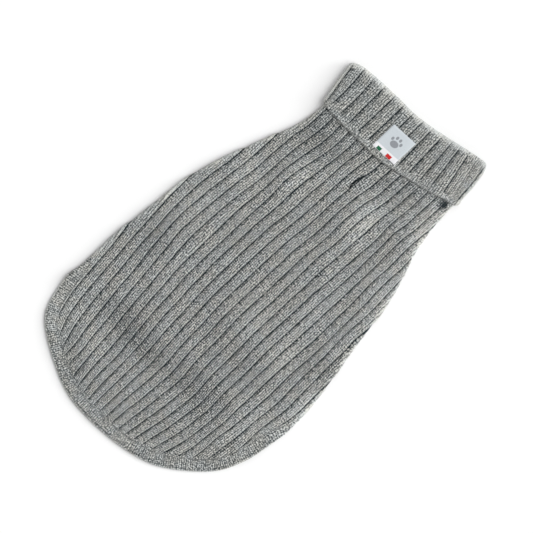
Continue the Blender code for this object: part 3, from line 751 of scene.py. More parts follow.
    def finish(self, name, finish, put, uv):
        """Lays and closes the piece, and maps its stitches: uv(u, v) in wales and courses."""
        self.lay(put)
        self.join()
        layer = self.bm.loops.layers.uv.active
        places = np.column_stack(uv(self.read("u"), self.read("v")))
        for vert, place in zip(self.bm.verts, places):
            for loop in vert.link_loops:
                loop[layer].uv = place
        return finished(self.bm, name, finish)


def finished(bm, name, finish):
    """A bmesh as a finished object that rides the coat: normals out, smooth."""
    bmesh.ops.recalc_face_normals(bm, faces=list(bm.faces))
    mesh = bpy.data.meshes.new(name)
    bm.to_mesh(mesh)
    bm.free()
    mesh.shade_smooth()
    mesh.materials.append(finish)
    piece = bpy.data.objects.new(name, mesh)
    bpy.context.scene.collection.objects.link(piece)
    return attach(piece, BODY)


def closed_grid(name, finish, points, uv, **marks):
    """A piece whose section is closed and that closes on itself: points by row and section."""
    rows, sections = points.shape[:2]
    bm = bmesh.new()
    layers = {bm.verts.layers.float.new(key): value for key, value in marks.items()}
    layer = bm.loops.layers.uv.new("knit")
    grid = bmesh.ops.create_grid(bm, x_segments=sections, y_segments=rows, size=1)["verts"]
    place = np.array([divmod(i, sections + 1) for i in range(len(grid))])
    for vert, (row, section) in zip(grid, place):
        vert.co = points[row % rows, section % sections] * MM
        for mark, value in layers.items():
            vert[mark] = value[row % rows, section % sections]
        for loop in vert.link_loops:
            loop[layer].uv = uv(row, section)
    bmesh.ops.remove_doubles(bm, verts=list(bm.verts), dist=1e-7)
    return finished(bm, name, finish)


def dressed(node):
    """Hides the CAD part that a sheet stands for."""
    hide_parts(node)


def operation(kind):
    """A method that adds a math node of this kind."""
    return lambda self, *others: self.finish.add(
        "ShaderNodeMath", dict(enumerate((self, *others))), operation=kind
    )


class Socket:
    """An output of a shader node, which Python's own operators work on, with numbers too."""

    def __init__(self, finish, link):
        self.finish, self.link = finish, link

    __add__ = __radd__ = operation("ADD")
    __sub__ = operation("SUBTRACT")
    __mul__ = __rmul__ = operation("MULTIPLY")
    __truediv__ = operation("DIVIDE")
    __pow__ = operation("POWER")
    __lt__ = operation("LESS_THAN")
    __gt__ = operation("GREATER_THAN")
    __abs__ = operation("ABSOLUTE")
    whole, part = operation("FLOOR"), operation("FRACT")
    least, most = operation("MINIMUM"), operation("MAXIMUM")

    def __rsub__(self, other):
        return self.finish.add("ShaderNodeMath", {0: other, 1: self}, operation="SUBTRACT")

    def between(self, low, high):
        """0 at low and 1 at high, eased."""
        ends = {"Value": self, "From Min": low, "From Max": high}
        return self.finish.add("ShaderNodeMapRange", ends, interpolation_type="SMOOTHSTEP")


class Finish:
    """A material as it is built: one method adds any node."""

    def __init__(self, name, roughness, sheen):
        self.material = bpy.data.materials.new(name)
        self.material.use_nodes = True
        self.tree = self.material.node_tree
        self.shader = self.tree.nodes["Principled BSDF"]
        self.shader.inputs["Roughness"].default_value = roughness
        self.shader.inputs["Sheen Weight"].default_value = sheen
        self.shader.inputs["Sheen Roughness"].default_value = 0.35
        self.shader.inputs["Specular IOR Level"].default_value = 0.2

    def add(self, kind, values, output=0, **settings):
        """A node's output, with these values or links at its inputs."""
        node = self.tree.nodes.new(kind)
        for name, value in settings.items():
            setattr(node, name, value)
        for name, value in values.items():
            if isinstance(value, Socket):
                self.tree.links.new(value.link, node.inputs[name])
            else:
                node.inputs[name].default_value = value
        return Socket(self, node.outputs[output])

    def feed(self, name, value):
        self.tree.links.new(value.link, self.shader.inputs[name])

    def mix(self, share, low, high, **settings):
        """A colour that runs from low to high."""
        values = {"Factor": share, 6: low, 7: high}
        return self.add("ShaderNodeMix", values, 2, data_type="RGBA", **settings)

    def tinted(self, colour, amount):
        """A colour made lighter or darker by a number."""
        values = {0: colour, "Scale": amount}
        return self.add("ShaderNodeVectorMath", values, operation="SCALE")

    def noise(self, where, scale, detail=2.0, roughness=0.5):
        values = {"Vector": where, "Scale": scale, "Detail": detail, "Roughness": roughness}
        return self.add("ShaderNodeTexNoise", values)

    def grain(self, x, y, detail=2.0, roughness=0.5):
        """Noise that follows the knitting, by its wales and courses."""
        return self.noise(self.joined(x, y), 1.0, detail, roughness)

    def joined(self, x, y):
        return self.add("ShaderNodeCombineXYZ", {"X": x, "Y": y})

    def random(self, cell):
        """A number from 0 to 1 that belongs to each cell."""
        return self.add("ShaderNodeTexWhiteNoise", {"Vector": cell}, noise_dimensions="2D")

    def stitches(self):
        """The knit UV map: wales and courses, each a whole number where a stitch begins."""
        where = self.add("ShaderNodeUVMap", {}, uv_map="knit")
        split = self.tree.nodes.new("ShaderNodeSeparateXYZ")
        self.tree.links.new(where.link, split.inputs[0])
        return Socket(self, split.outputs[0]), Socket(self, split.outputs[1])

    def place(self):
        """Places on the object itself, in metres."""
        return self.add("ShaderNodeTexCoord", {}, 3)

    def marked(self, name):
        """A number that the mesh's vertices carry."""
        return self.add("ShaderNodeAttribute", {}, 2, attribute_name=name)

    def bump(self, height, distance, strength):
        values = {"Height": height, "Distance": distance, "Strength": strength}
        self.feed("Normal", self.add("ShaderNodeBump", values))


def knit_finish(name, colours, ribbed, loose, crisp):
    """Melange yarn, knitted: each stitch's two legs lean in, and each leg has its own greys."""
    finish = Finish(name, 0.93, 0.6)
    wale, course = finish.stitches()
    place = finish.place()
    fibre = finish.grain(wale * 1.25, course * 1.35, 0.0)
    drift = finish.noise(place, 34, 3.0, 0.55)
    hue = finish.noise(place, 70)
    tug = (finish.grain(wale * 0.8, course * 0.45) - 0.5) * loose

    # A stitch: two legs that lean in to the middle of the wale
    wale_here = wale + tug * 0.7
    lane = wale_here.whole()
    across = abs(wale_here.part() * 2 - 1)
    stagger = finish.random(finish.joined(lane, 0.5)) * 0.3
    leg = course + wale * 0.2 + across * 0.4 + tug * 1.5 + drift * 3 + stagger
    loop = 1 - abs(leg.part() * 2 - 1)
    strand = finish.random(finish.joined((wale_here * 2).whole(), (leg * 2).whole()))
    streak = finish.grain(lane * 1.7, course * 0.3)
    height = (1 - across**3) * (loop * 0.6 + 0.4)

    stitches = (
        (strand - 0.5) * YARN["strand"]
        + (height - 0.5) * YARN["loop"]
        + (fibre - 0.5) * YARN["fibre"]
    )
    fluff = finish.marked("fluff")
    plain_to_see = (1 + finish.marked("bold") - fluff * 0.6) * crisp
    tone = 0.5 + stitches * plain_to_see + (streak - 0.5) * YARN["streak"]
    # painted light and shade from the patches, and a painted highlight along edges where the fibres
    # stand up
    tone = tone + finish.marked("pale") + fluff * YARN["fluff"]
    # painted shade deep in the grooves and on each rib's flank beside them, and a painted highlight
    # along the crests
    if ribbed:
        ribs = finish.marked("ribs")
        unsteady = wale + (strand - 0.5) * YARN["ragged"] + tug * 0.4
        rib = (unsteady / WALES_PER_RIB).part()
        groove = rib.between(0.1, 0.0).most(rib.between(0.9, 1.0))
        number = (wale / WALES_PER_RIB + 0.5).whole() * 3.7
        depth = finish.grain(number, course * 0.22, 3.0, 0.6)
        tone = tone - groove * ribs * (depth * 1.8 + 0.1) * YARN["groove"]
        tone = tone - rib.between(0.3, 0.02) * ribs * YARN["shaded"]
        crest_highlight = 1 - abs(abs(rib - 0.74) * 14).least(1.0)
        tone = tone + crest_highlight * ribs * streak * YARN["crest_highlight"]
        lines = rib.between(0.3, 0.45)
        tone = tone + lines * (0.35 - across**2) * YARN["lines"]
        # painted shadow in the leash slit and on what shows through it
        tone = tone - finish.marked("slit") * YARN["slit"]
        height = height - groove * ribs * 0.5
    tone = tone.most(0.0).least(1.0)

    low = finish.mix((tone * 2).least(1.0), colours["dark"], colours["middle"])
    colour = finish.mix((tone * 2 - 1).most(0.0), low, colours["light"])
    tint = finish.mix(hue.between(0.35, 0.65), YARN_COOL, YARN_WARM)
    colour = finish.mix(1.0, colour, tint, blend_type="MULTIPLY")
    colour = finish.tinted(colour, (drift - 0.5) * 0.22 + 1.0)
    finish.feed("Base Color", colour)
    finish.feed("Roughness", 0.9 + (fibre - 0.5) * 0.08)
    finish.bump(height + fibre * 0.4, 0.4 * MM, 0.35)
    return finish.material


def label_finish(colours):
    """White woven tape, with a small pad-and-toes mark and a flag's strip at its foot."""
    finish = Finish("label_weave", 0.55, 0.05)
    x, y = finish.stitches()
    weave_x = abs((x * 4).part() * 2 - 1)
    weave_y = abs((y * 4).part() * 2 - 1)
    weave = weave_x * 0.5 + weave_y * 0.5
    fine = finish.noise(finish.place(), 900, 2.0, 0.6)

    # The mark and the flag, in millimetres from the label's lower left corner
    def oval(at_x, at_y, half_x, half_y):
        far = ((x - at_x) / half_x) ** 2 + ((y - at_y) / half_y) ** 2
        return far.between(1.12, 0.88)

    mark = oval(15.0, 15.6, 4.6, 3.7)
    for toe_x, toe_y in ((9.6, 19.4), (13.0, 22.6), (17.2, 22.6), (20.6, 19.4)):
        mark = mark.most(oval(toe_x, toe_y, 1.45, 2.0))

    def block(left, right, low, high):
        return (x > left) * (x < right) * (y > low) * (y < high)

    colour = finish.mix(mark * 0.85, colours["tape"], colours["mark"])
    colour = finish.mix(y < 6.4, colour, colours["strip"])
    colour = finish.mix(block(4.6, 9.8, 0.3, 4.0), colour, colours["green"])
    colour = finish.mix(block(17.0, 23.2, 0.3, 4.3), colour, colours["red"])
    colour = finish.tinted(colour, (weave - 0.5) * 0.10 + (fine - 0.5) * 0.16 + 1.0)
    finish.feed("Base Color", colour)
    finish.feed("Roughness", 0.5 + weave * 0.15)
    finish.bump(weave, 0.1 * MM, 0.5)
    return finish.material


def colour_of(name, description, *default):
    return FloatVectorProperty(
        name=name, description=description, subtype="COLOR", size=3, min=0, max=1, default=default
    )


def angle_of(name, description, degrees):
    return FloatProperty(
        name=name, description=description, subtype="ANGLE", default=math.radians(degrees)
    )


class YarnColours(bpy.types.PropertyGroup):
    """The colours of the yarn and the label."""

    # the shadow colour is partly painted shade: the bluish dark deep in the grooves, as well as the
    # darkest yarn
    dark: colour_of("Shadow", "Yarn deep between the stitches", 0.011, 0.02, 0.024)
    middle: colour_of("Yarn", "The yarn's middle grey", 0.167, 0.173, 0.1695)
    light: colour_of("Crest", "The palest fibres on top of the stitches", 0.6, 0.612, 0.59)
    tape: colour_of("Tape", "The woven label", 0.52, 0.56, 0.59)
    strip: colour_of("Strip", "The label's white foot", 0.72, 0.72, 0.74)
    mark: colour_of("Mark", "The woven mark", 0.2, 0.21, 0.23)
    green: colour_of("Flag green", "Left block of the flag", 0.012, 0.11, 0.05)
    red: colour_of("Flag red", "Right block of the flag", 0.5, 0.02, 0.02)

    def as_dict(self):
        """Each colour by its name, opaque."""
        return {name: (*getattr(self, name), 1.0) for name in type(self).__annotations__}


class StageSizes(bpy.types.PropertyGroup):
    """The camera, the floor and the light."""

    frame_width: FloatProperty(
        name="Frame", description="Width of the floor that the camera sees", unit="LENGTH",
        default=0.549,
    )
    lens: FloatProperty(
        name="Lens", description="Focal length in millimetres", unit="CAMERA", default=200.0
    )
    floor_side: FloatProperty(
        name="Floor", description="Side of the square floor", unit="LENGTH", default=6.0
    )
    key_energy: FloatProperty(name="Key", description="Strength of the key light", default=2.45)
    fill: FloatProperty(name="Fill", description="Strength of the light all round", default=0.56)
    rake: FloatProperty(
        name="Rake", description="Strength of the low light that shows the knitting", default=1.0
    )
    rake_height: angle_of("Rake height", "The low light's angle above the floor", 15)
    key_height: angle_of("Key height", "The key light's angle above the floor", 45)
    key_way: angle_of("Key way", "The key light's direction, turned from +X towards +Y", 42)


# Each yarn: whether it is knitted in ribs, how loose its stitches are, and how crisp
YARNS = {
    "rib_yarn": (True, 1.0, 1.0),
    "collar_yarn": (True, 1.4, 0.82),
    "plain_yarn": (False, 1.8, 1.0),
}


def coat_colours(context):
    return context.scene.coat_colours.as_dict()


def yarn(context, name):
    made = bpy.data.materials.get(name)
    return made or knit_finish(name, coat_colours(context), *YARNS[name])


def slit_distance(x, y):
    """How far outside the leash slit's bowed lens each place is."""
    low, high = np.array(SLIT_LOW), np.array(SLIT_HIGH)
    along = high - low
    length = math.hypot(*along)
    t = ((x - low[0]) * along[0] + (y - low[1]) * along[1]) / length**2
    aside = ((x - low[0]) * -along[1] + (y - low[1]) * along[0]) / length
    bulge = np.sin(math.pi * np.clip(t, 0, 1) ** SLIT_LEAN)
    past_end = np.maximum(np.abs(t - 0.5) - 0.5, 0) * length
    return np.hypot(aside - SLIT_BOW * bulge, past_end) - SLIT_WIDTH / 2 * bulge**SLIT_BLUNT


def seam_x(y, side):
    """Where a belly seam lies on the underside of the laid coat."""
    seam = SEAM_LEFT if side == "left" else SEAM_RIGHT
    flat_y = np.atleast_1d(np.asarray(y, float))
    return lay(groove_x(seam, flat_y), flat_y, WALL)[:, 0]


def belly_x(share, y):
    """Places between the belly seams, from the left one (0) to the right one (1)."""
    flat = np.asarray(y, float).ravel()
    left = seam_x(flat, "left") + SEAM_GAP
    right = seam_x(flat, "right") - SEAM_GAP
    return left + (right - left) * share


def belly_hem_y(share):
    """The belly hem's outer edge, from its left end (0) to its right end (1)."""
    return BELLY_HEM_SIDE + (BELLY_HEM_MIDDLE - BELLY_HEM_SIDE) * (1 - (2 * share - 1) ** 2)


def leg_hole_lie(side):
    """Where a leg hole's middle lies across the coat, and the cosine and sine of its turn."""
    turn = math.radians(-LEG_HOLE_TURN if side == "left" else LEG_HOLE_TURN)
    return seam_x(LEG_HOLE_Y, side)[0], math.cos(turn), math.sin(turn)


def outside_cuffs(x, y):
    """How far outside the cuffs' outer ovals each place of the underside is, about."""
    wide, long = LEG_HOLE_WIDE / 2 + CUFF_WIDTH, LEG_HOLE_LONG / 2 + CUFF_WIDTH
    far = []
    for side in ("left", "right"):
        centre, c, s = leg_hole_lie(side)
        off_x, off_y = x - centre, y - LEG_HOLE_Y
        across, along = off_x * c + off_y * s, -off_x * s + off_y * c
        far.append((np.hypot(across / wide, along / long) - 1) * (wide + long) / 2)
    return np.minimum(*far)


def rib_stitches(n, v):
    """Wales and courses of a ribbed panel: its rib coordinate and its millimetres along."""
    return wale_number(n), -v / COURSE


class COAT_OT_back(bpy.types.Operator):
    """Models the back: one ribbed panel, round both sides to the belly seams"""

    bl_idname = "coat.back"
    bl_label = "Back Panel"

    CUT = (0.336, 0.404)  # the flat panel, in metres
    CLEAR_OF_FOLD = 6  # this far past a fold line, the panel lies underneath

    @staticmethod
    def place(n, v):
        y = NECK_ROW - v
        for _ in range(4):
            y = row_y(lay(groove_x(n, y), y, 0)[:, 0], NECK_ROW - v)
        return groove_x(n, y), y

    @staticmethod
    def put(n, v, x, y, outer):
        relief = np.where(outer, rib_relief(n, y), 0)
        ended = ease((inside_hem(x, y) - BAND_WIDTH) / RIB_FADE_AT_HEM)
        relief = HEM_RELIEF + (relief - HEM_RELIEF) * ended
        slit = slit_distance(x, y)
        relief = relief + outer * SLIT_RIM * np.exp(-((slit - 0.8) / 0.9) ** 2)
        return lay(x, y, outer * WALL, relief * outer)

    @staticmethod
    def slit_shade(x, y, outer):
        """1 inside the leash slit and on what lies under it, where the yarn is in shadow."""
        rim = 0.8 * (1 - ease(slit_distance(x, y) / 0.4))
        beneath = slit_distance(lay(x, y, 0)[:, 0], y)
        return np.where(outer, rim, 1 - ease((beneath - 4) / 3))

    # Painted light and shade: the patches, paler where the back's folds catch the light and darker
    # where they lose it
    @staticmethod
    def pale(x, y, outer):
        return patches(PAINTED_LIGHT_AND_SHADE, x, y)

    @staticmethod
    def fluff(x, y, outer):
        """1 where the side folds turn over: the yarn's fibres stand up there, and it gets a painted
        highlight.
        """
        left, right = x - FOLDS.read("left", y), FOLDS.read("right", y) - x
        return np.maximum(1 - ease((left + 1) / 3), 0.8 * (1 - ease((right + 1.5) / 3)))

    @staticmethod
    def ribs(x, y, outer):
        """How much of the ribs shows, with their painted groove shade and highlight: they end softly
        at the hem and under the coat.
        """
        left, right = FOLDS.read("left", y), FOLDS.read("right", y)
        past = np.maximum(left - x, x - right)
        beneath = 1 - 0.5 * ease((past - 3) / 3)
        return beneath * ease((inside_hem(x, y) - BAND_WIDTH) / RIB_FADE_AT_HEM)

    def kept(self, x, y):
        """Below 0 past the hem's seam, in the leash slit, and where a leg hole's cuff lies."""
        left, right = FOLDS.read("left", y), FOLDS.read("right", y)
        beneath = (x < left - self.CLEAR_OF_FOLD) | (x > right + self.CLEAR_OF_FOLD)
        far = 30.0
        return np.minimum(
            np.minimum(inside_hem(x, y) - BAND_WIDTH - SEAM_GAP, slit_distance(x, y)),
            np.where(beneath, outside_cuffs(lay(x, y, 0)[:, 0], y), far),
        )

    def execute(self, context):
        rows = np.arange(0, NECK_ROW - TAIL_ROW, ROW_STEP)
        coarse = rib_columns(SEAM_LEFT, SEAM_RIGHT, (0, 0.25, 0.5, 0.75))
        shell = Shell(self.place, (rib_columns(SEAM_LEFT, SEAM_RIGHT), rows), (coarse, rows[::3]))
        for reach in (5, 3):
            shell.refine(lambda x, y: np.abs(slit_distance(x, y)) < reach)
        shell.trim(self.kept)
        area = shell.flat_area()
        shell.mark(ribs=self.ribs, slit=self.slit_shade, pale=self.pale, fluff=self.fluff)
        piece = shell.finish("back_ribs", yarn(context, "rib_yarn"), self.put, rib_stitches)
        dressed("back_panel")
        return {"FINISHED"}


class COAT_OT_belly(bpy.types.Operator):
    """Models the belly: one ribbed panel that lies face down, seamed to the back"""

    bl_idname = "coat.belly"
    bl_label = "Belly Panel"

    CUT = (0.212, 0.29)  # the flat panel, in metres

    @staticmethod
    def place(n, v):
        share = n / BELLY_RIBS
        row = NECK_ROW - v
        y = row
        for _ in range(4):
            y = row_y(belly_x(share, y), row)
        y = np.maximum(y, belly_hem_y(share) + BAND_WIDTH + SEAM_GAP)
        return belly_x(share, y), y

    @staticmethod
    def put(n, v, x, y, outer):
        relief = np.minimum(rib_relief(n, y) - RIB_TOP, 0) * UNDER_RIB
        return np.column_stack([x, y, floor_height(x, y) + WALL - outer * (WALL + relief)])

    @staticmethod
    def ribs(x, y, outer):
        """They show less than on the back."""
        return np.full(len(x), 0.6)

    @staticmethod
    def slit_shade(x, y, outer):
        """1 on what shows through the leash slit, painted shadow there."""
        return (1 - outer) * (1 - ease((slit_distance(x, y) - 3) / 3))

    def execute(self, context):
        long = NECK_ROW - BELLY_HEM_MIDDLE - BAND_WIDTH
        rows = np.append(np.arange(0, long, 2 * ROW_STEP), long)
        coarse = np.arange(0, BELLY_RIBS + 0.1, 0.25)
        shell = Shell(self.place, (rib_columns(0, BELLY_RIBS), rows), (coarse, rows))
        shell.trim(outside_cuffs)
        area = shell.flat_area()
        shell.mark(ribs=self.ribs, slit=self.slit_shade)
        piece = shell.finish("belly_ribs", yarn(context, "rib_yarn"), self.put, rib_stitches)
        dressed("belly_panel")
        return {"FINISHED"}


class COAT_OT_hems(bpy.types.Operator):
    """Models the doubled plain bands along the hem of the back and of the belly"""

    bl_idname = "coat.hems"
    bl_label = "Hem Bands"

    BELLY_LENGTH = 0.22  # in metres
    ACROSS = (  # from the band's seam (0) to its outer edge
        0, 0.6, 1.3, 2.2, 3.2, 4.3, 5.4, 6.5, 7.6, 8.6, 9.5, 10.3, 11, 11.6, 12.05, 12.35,
        BAND_WIDTH,
    )

    @staticmethod
    def place(across, station):
        at = np.arange(len(HEM_LINE))
        line = [np.interp(station, at, column) for column in HEM_LINE.T]
        inward = [np.interp(station, at, column) for column in HEM_INWARD.T]
        return tuple(a + b * (BAND_WIDTH - across) for a, b in zip(line, inward))

    @staticmethod
    def put(across, station, x, y, outer):
        out = outer * (band_thickness(across) + band_relief(station * HEM_STEP, across))
        laid = lay(x, y, out, 0.0, BAND_THICK)
        laid[:, 2] = np.maximum(laid[:, 2], 0)
        return laid

    @staticmethod
    def pale(x, y, outer):
        """The patches of painted light and shade, and a line of painted shade inside the very edge,
        where the band rounds off.
        """
        line = np.exp(-(((inside_hem(x, y) - 2.7) / 0.7) ** 2))
        return patches(PAINTED_LIGHT_AND_SHADE, x, y) - 0.16 * line

    @staticmethod
    def fluff(x, y, outer):
        """1 along the very edge, where the yarn's fibres stand up and get a painted highlight."""
        return 1 - ease((inside_hem(x, y) - 0.7) / 1.4)

    @staticmethod
    def belly_place(across, station):
        share = station / BELLY_STATIONS
        y = belly_hem_y(share) + BAND_WIDTH - across
        return belly_x(share, y), y

    @staticmethod
    def belly_put(across, station, x, y, outer):
        relief = band_relief(x, across) * ease(across / 2)
        below = np.maximum(0.25 - relief, 0)
        return np.column_stack([x, y, outer * band_thickness(across) + (1 - outer) * below])

    @staticmethod
    def closed(context, shell, name, node, put, length):
        piece = shell.finish(
            name, yarn(context, "plain_yarn"), put,
            lambda across, station: (station * HEM_STEP / BAND_WALE, across / 2),
        )
        dressed(node)

    def execute(self, context):
        stations = np.arange(0, len(HEM_LINE) - 1 + 0.01, 0.2)
        shell = Shell(self.place, (self.ACROSS, stations), (self.ACROSS[::4], stations))
        shell.mark(pale=self.pale, fluff=self.fluff)
        length = len(HEM_LINE) * HEM_STEP * MM
        self.closed(context, shell, "hem_band", "back_hem_band", self.put, length)
        grid = (self.ACROSS, np.arange(BELLY_STATIONS + 1.0))
        shell = Shell(self.belly_place, grid, grid)
        self.closed(context, shell, "belly_band", "belly_hem_band", self.belly_put, self.BELLY_LENGTH)
        return {"FINISHED"}


class COAT_OT_cuffs(bpy.types.Operator):
    """Models the plain bands round the two leg holes, level with the panels beside them"""

    bl_idname = "coat.cuffs"
    bl_label = "Leg Cuffs"

    SECTIONS = (
        # inset from the panels' edge, height above the floor
        (SEAM_GAP, 0.3),
        (SEAM_GAP, CUFF_THICK - 0.5),
        (SEAM_GAP + 0.4, CUFF_THICK - 0.15),
        (SEAM_GAP + 1.1, CUFF_THICK),
        (3.0, CUFF_THICK),
        (CUFF_WIDTH - 3.0, CUFF_THICK),
        (CUFF_WIDTH - 1.6, CUFF_THICK - 0.1),
        (CUFF_WIDTH - 0.6, CUFF_THICK - 0.6),
        (CUFF_WIDTH - 0.1, CUFF_THICK - 1.3),
        (CUFF_WIDTH - 0.5, 0.3),
        (CUFF_WIDTH - 1.5, 0.0),
        (CUFF_WIDTH - 3.0, 0.0),
        (3.0, 0.0),
        (SEAM_GAP + 0.8, 0.0),
    )
    ROUND = 160
    WALE_RELIEF = 0.14
    CUT_WIDTH = 0.01  # in metres, with the edge that is linked to the panels

    def cuff(self, side):
        inset, height = (column[None, :] for column in np.array(self.SECTIONS).T)
        angle = 2 * math.pi * np.arange(self.ROUND)[:, None] / self.ROUND
        wale = self.WALE_RELIEF * np.sin(angle * self.ROUND / 3) * np.where(height > 1, 1, -1)
        wale = wale * ((inset > 1) & (inset < CUFF_WIDTH - 0.4))
        along = (LEG_HOLE_LONG / 2 + CUFF_WIDTH - inset) * np.sin(angle)
        across = (LEG_HOLE_WIDE / 2 + CUFF_WIDTH - inset) * np.cos(angle)
        centre, c, s = leg_hole_lie(side)
        x = centre + across * c - along * s
        y = LEG_HOLE_Y + across * s + along * c
        z = np.maximum(height + wale, 0) + 0 * angle
        return np.stack([x, y, z], axis=-1)

    def execute(self, context):
        for side in ("left", "right"):
            piece = closed_grid(
                f"cuff_{side}", yarn(context, "plain_yarn"), self.cuff(side),
                lambda row, section: (row / 3 * 2, section * 0.5),
            )
            dressed(f"leg_cuff_{side}")
        return {"FINISHED"}


class COAT_OT_collar(bpy.types.Operator):
    """Models the collar: a ribbed tube that is turned down over the neck, with a plain welt"""

    bl_idname = "coat.collar"
    bl_label = "Collar"

    BACK, RIGHT, UNDER, LEFT = range(4)
    SIDE_START, SIDE_END = COLLAR_RIBS + 0.9, COLLAR_RIBS + 1.5
    SIDE_RIBS, SIDE_TURNS = (SIDE_START, COLLAR_RIBS + 1, SIDE_END), (0, 21, 92)
    CORNER = 12.0  # how far from its edges the collar's sides begin to round off
    LOW_ROUNDING, HIGH_ROUNDING = 5.0, 4.5  # how far the corners draw in
    LOW_TURNS = (104, 122, 142, 162)
    TUBE_ROUND = 0.34  # in metres, once round the neck
    ROUND = 28  # whole ribs round the collar, so that the left side's count follows on

    def sections(self):
        """The collar's section, once round: share of its height, mm more, level, rib, flare."""
        low_in, low_out = INNER_TUBE
        turn_in, turn_out = OUTER_TURN
        outside_r = (turn_out - low_in) / 2
        inside_r = (turn_in - low_out) / 2
        tip = (turn_out + low_in) / 2
        top = turn_out
        points = [
            (0, 0.3, turn_in + 0.3, 0, 1),
            (0, -0.15, turn_in + 0.9, 0, 1),
            (0, 0.05, top + 0.3, 0, 1),
            (0, 0.6, top + 1.0, 0, 1),
            (0, 1.5, top + 1.3, 0, 1),
            (0, 2.8, top + 1.35, 0, 1),
            (0, 4.4, top + 1.2, 0.05, 1),
            (0, WELT, top + 0.95, 0.15, 1),
            (0, WELT + 1.1, top + 0.5, 0.45, 1),
            (0, WELT + 2.1, top + 0.15, 0.8, 1),
        ]
        start, end = (WELT + 3) / COLLAR_HEIGHT, 1 - 8.4 / COLLAR_HEIGHT
        points += [(share, 0, top, 1, 1) for share in np.linspace(start, end, 34)]
        points += [(1, -7.4, top, 0.85, 0), (1, -6.5, top + 0.1, 0.6, 0)]
        points += [(1, -5.6, top + 0.25, 0.4, 0), (1, -4.6, top + 0.35, 0.32, 0)]
        for angle in (75, 60, 45, 30, 15, 0, -20, -45):
            swing = math.radians(angle)
            points.append(
                (1, outside_r * (math.cos(swing) - 1), tip + outside_r * math.sin(swing), 0.15, 0)
            )
        points += [(1, -5.0, low_in, 0, 0)]
        points += [(share, 0, low_in, 0, 0) for share in np.linspace(0.85, 0.3, 8)]
        points += [
            (0, NECK_LAP + NECK_SEAM, low_in, 0, 0),
            (0, NECK_LAP + NECK_SEAM, low_out, 0, 0),
            (1, -outside_r - 1, low_out, 0, 0),
            (1, inside_r - outside_r, tip, 0, 0),
            (1, -outside_r - 1, turn_in, 0, 0),
            (0, FLARE_REACH, turn_in, 0, 1),
            (0, 4.0, turn_in, 0, 1),
        ]
        return np.array(points)

    def stations(self):
        """Places round the collar: its part, the value there, and the rib that it is on."""
        back = rib_columns(-self.SIDE_START, self.SIDE_START)
        right = rib_columns(self.SIDE_START, self.SIDE_END)[1:]
        left = rib_columns(-self.SIDE_END, -self.SIDE_START)[:-1]
        low, under = np.array(self.LOW_TURNS), np.linspace(1, 0, 73)
        low_ribs = (low - self.SIDE_TURNS[-1]) / 140
        parts = (
            (self.BACK, back, back),
            (self.RIGHT, np.interp(right, self.SIDE_RIBS, self.SIDE_TURNS), right),
            (self.RIGHT, low, self.SIDE_END + low_ribs),
            (self.UNDER, under, self.SIDE_END + 0.6 + (1 - under) * 11.8),
            (self.LEFT, low[::-1], self.ROUND - self.SIDE_END - low_ribs[::-1]),
            (self.LEFT, np.interp(-left, self.SIDE_RIBS, self.SIDE_TURNS), self.ROUND + left),
        )
        return np.vstack([
            np.column_stack([np.full(len(value), part), value, rib])
            for part, value, rib in parts
        ])

    @staticmethod
    def faint(value, on_back):
        """1 at the last groove on the right, which hardly shows."""
        return on_back * np.exp(-(((value - COLLAR_RIBS) / 0.3) ** 2))

    def points(self, stations, sections):
        """The collar's points in millimetres, by station and section."""
        part, value, count = (column[:, None] for column in stations.T)
        share, more, level, rib, flare = (column[None, :] for column in sections.T)
        height = share + more / COLLAR_HEIGHT
        left, right = (COLLAR_SIDES.read(side, height) for side in ("left", "right"))
        on_back, under = part == self.BACK, part == self.UNDER
        on_side = ~on_back & ~under
        low, high = (COLLAR_GROOVES.read(end, value) for end in ("low", "high"))
        bend = 1.5 * np.sin(math.pi * np.clip(height, 0, 1)) * (value < -4)
        groove = low + (high - low) * height + bend * np.clip(-4 - value, 0, 1)
        past = np.clip((np.abs(value) - COLLAR_RIBS) / (self.SIDE_START - COLLAR_RIBS), 0, 1)
        groove = groove + (np.where(value < 0, left, right) - groove) * past
        x = np.where(on_back, groove, left + (right - left) * value)
        x = np.where(part == self.LEFT, left, np.where(part == self.RIGHT, right, x))
        x = x + on_back * (1 - past) * CLOTH_RELIEF * CLOTH_UNEVEN.at(value * 9, height * 30)

        # How far the section has turned over at the sides, and each point's place along the coat
        turn = np.radians(np.where(under, 180, np.where(on_side, value, 0)))
        low, high_edge = COLLAR_EDGES.read("low", x), COLLAR_EDGES.read("high", x)
        y = low + (high_edge - low) * share + more
        y = y + CLOTH_RELIEF * CLOTH_UNEVEN.at(x * 1.4, 20 + 0 * x) * (share < 0.5)
        spread = 1 - past_fold(turn)
        inside_edge = np.maximum(y - low, 0)
        below_top = np.maximum(high_edge - y, 0)
        rounded = on_side * (1 - np.cos(np.minimum(turn, math.pi / 2)))  # the corners draw in
        low_corner, high_corner = (
            rounded * np.clip(1 - far / self.CORNER, 0, 1) for far in (inside_edge, below_top)
        )
        y = y + self.LOW_ROUNDING * low_corner - self.HIGH_ROUNDING * high_corner

        # Heights: the flare, the ribs, and the stitches that stand up along the top fold
        level = level + flare * collar_flare(inside_edge) * spread
        relief = rib_relief(count, y)
        relief = relief + (0.8 - relief) * 0.6 * self.faint(value, on_back)
        relief = np.where(under, 0, relief * spread)
        level = level + rib * relief
        level = level + (level > OUTER_TURN[1]) * 0.3 * CLOTH_UNEVEN.at(x, y + 60) * on_back
        heads = np.exp(-(((y - high_edge + 4.0) / 2.4) ** 2)) * (level > OUTER_TURN[1])
        level = level + 0.45 * heads * np.sin(math.pi * count) ** 2 * spread
        over = level - OUTER_TURN[1]
        level = np.where(over > 0, OUTER_TURN[1] + over * spread, level)
        away = np.where(part == self.RIGHT, 1, -1) * on_side
        x = x + away * level * np.sin(turn)
        return np.stack([x, y, NECK_MID + level * np.cos(turn)], axis=-1)

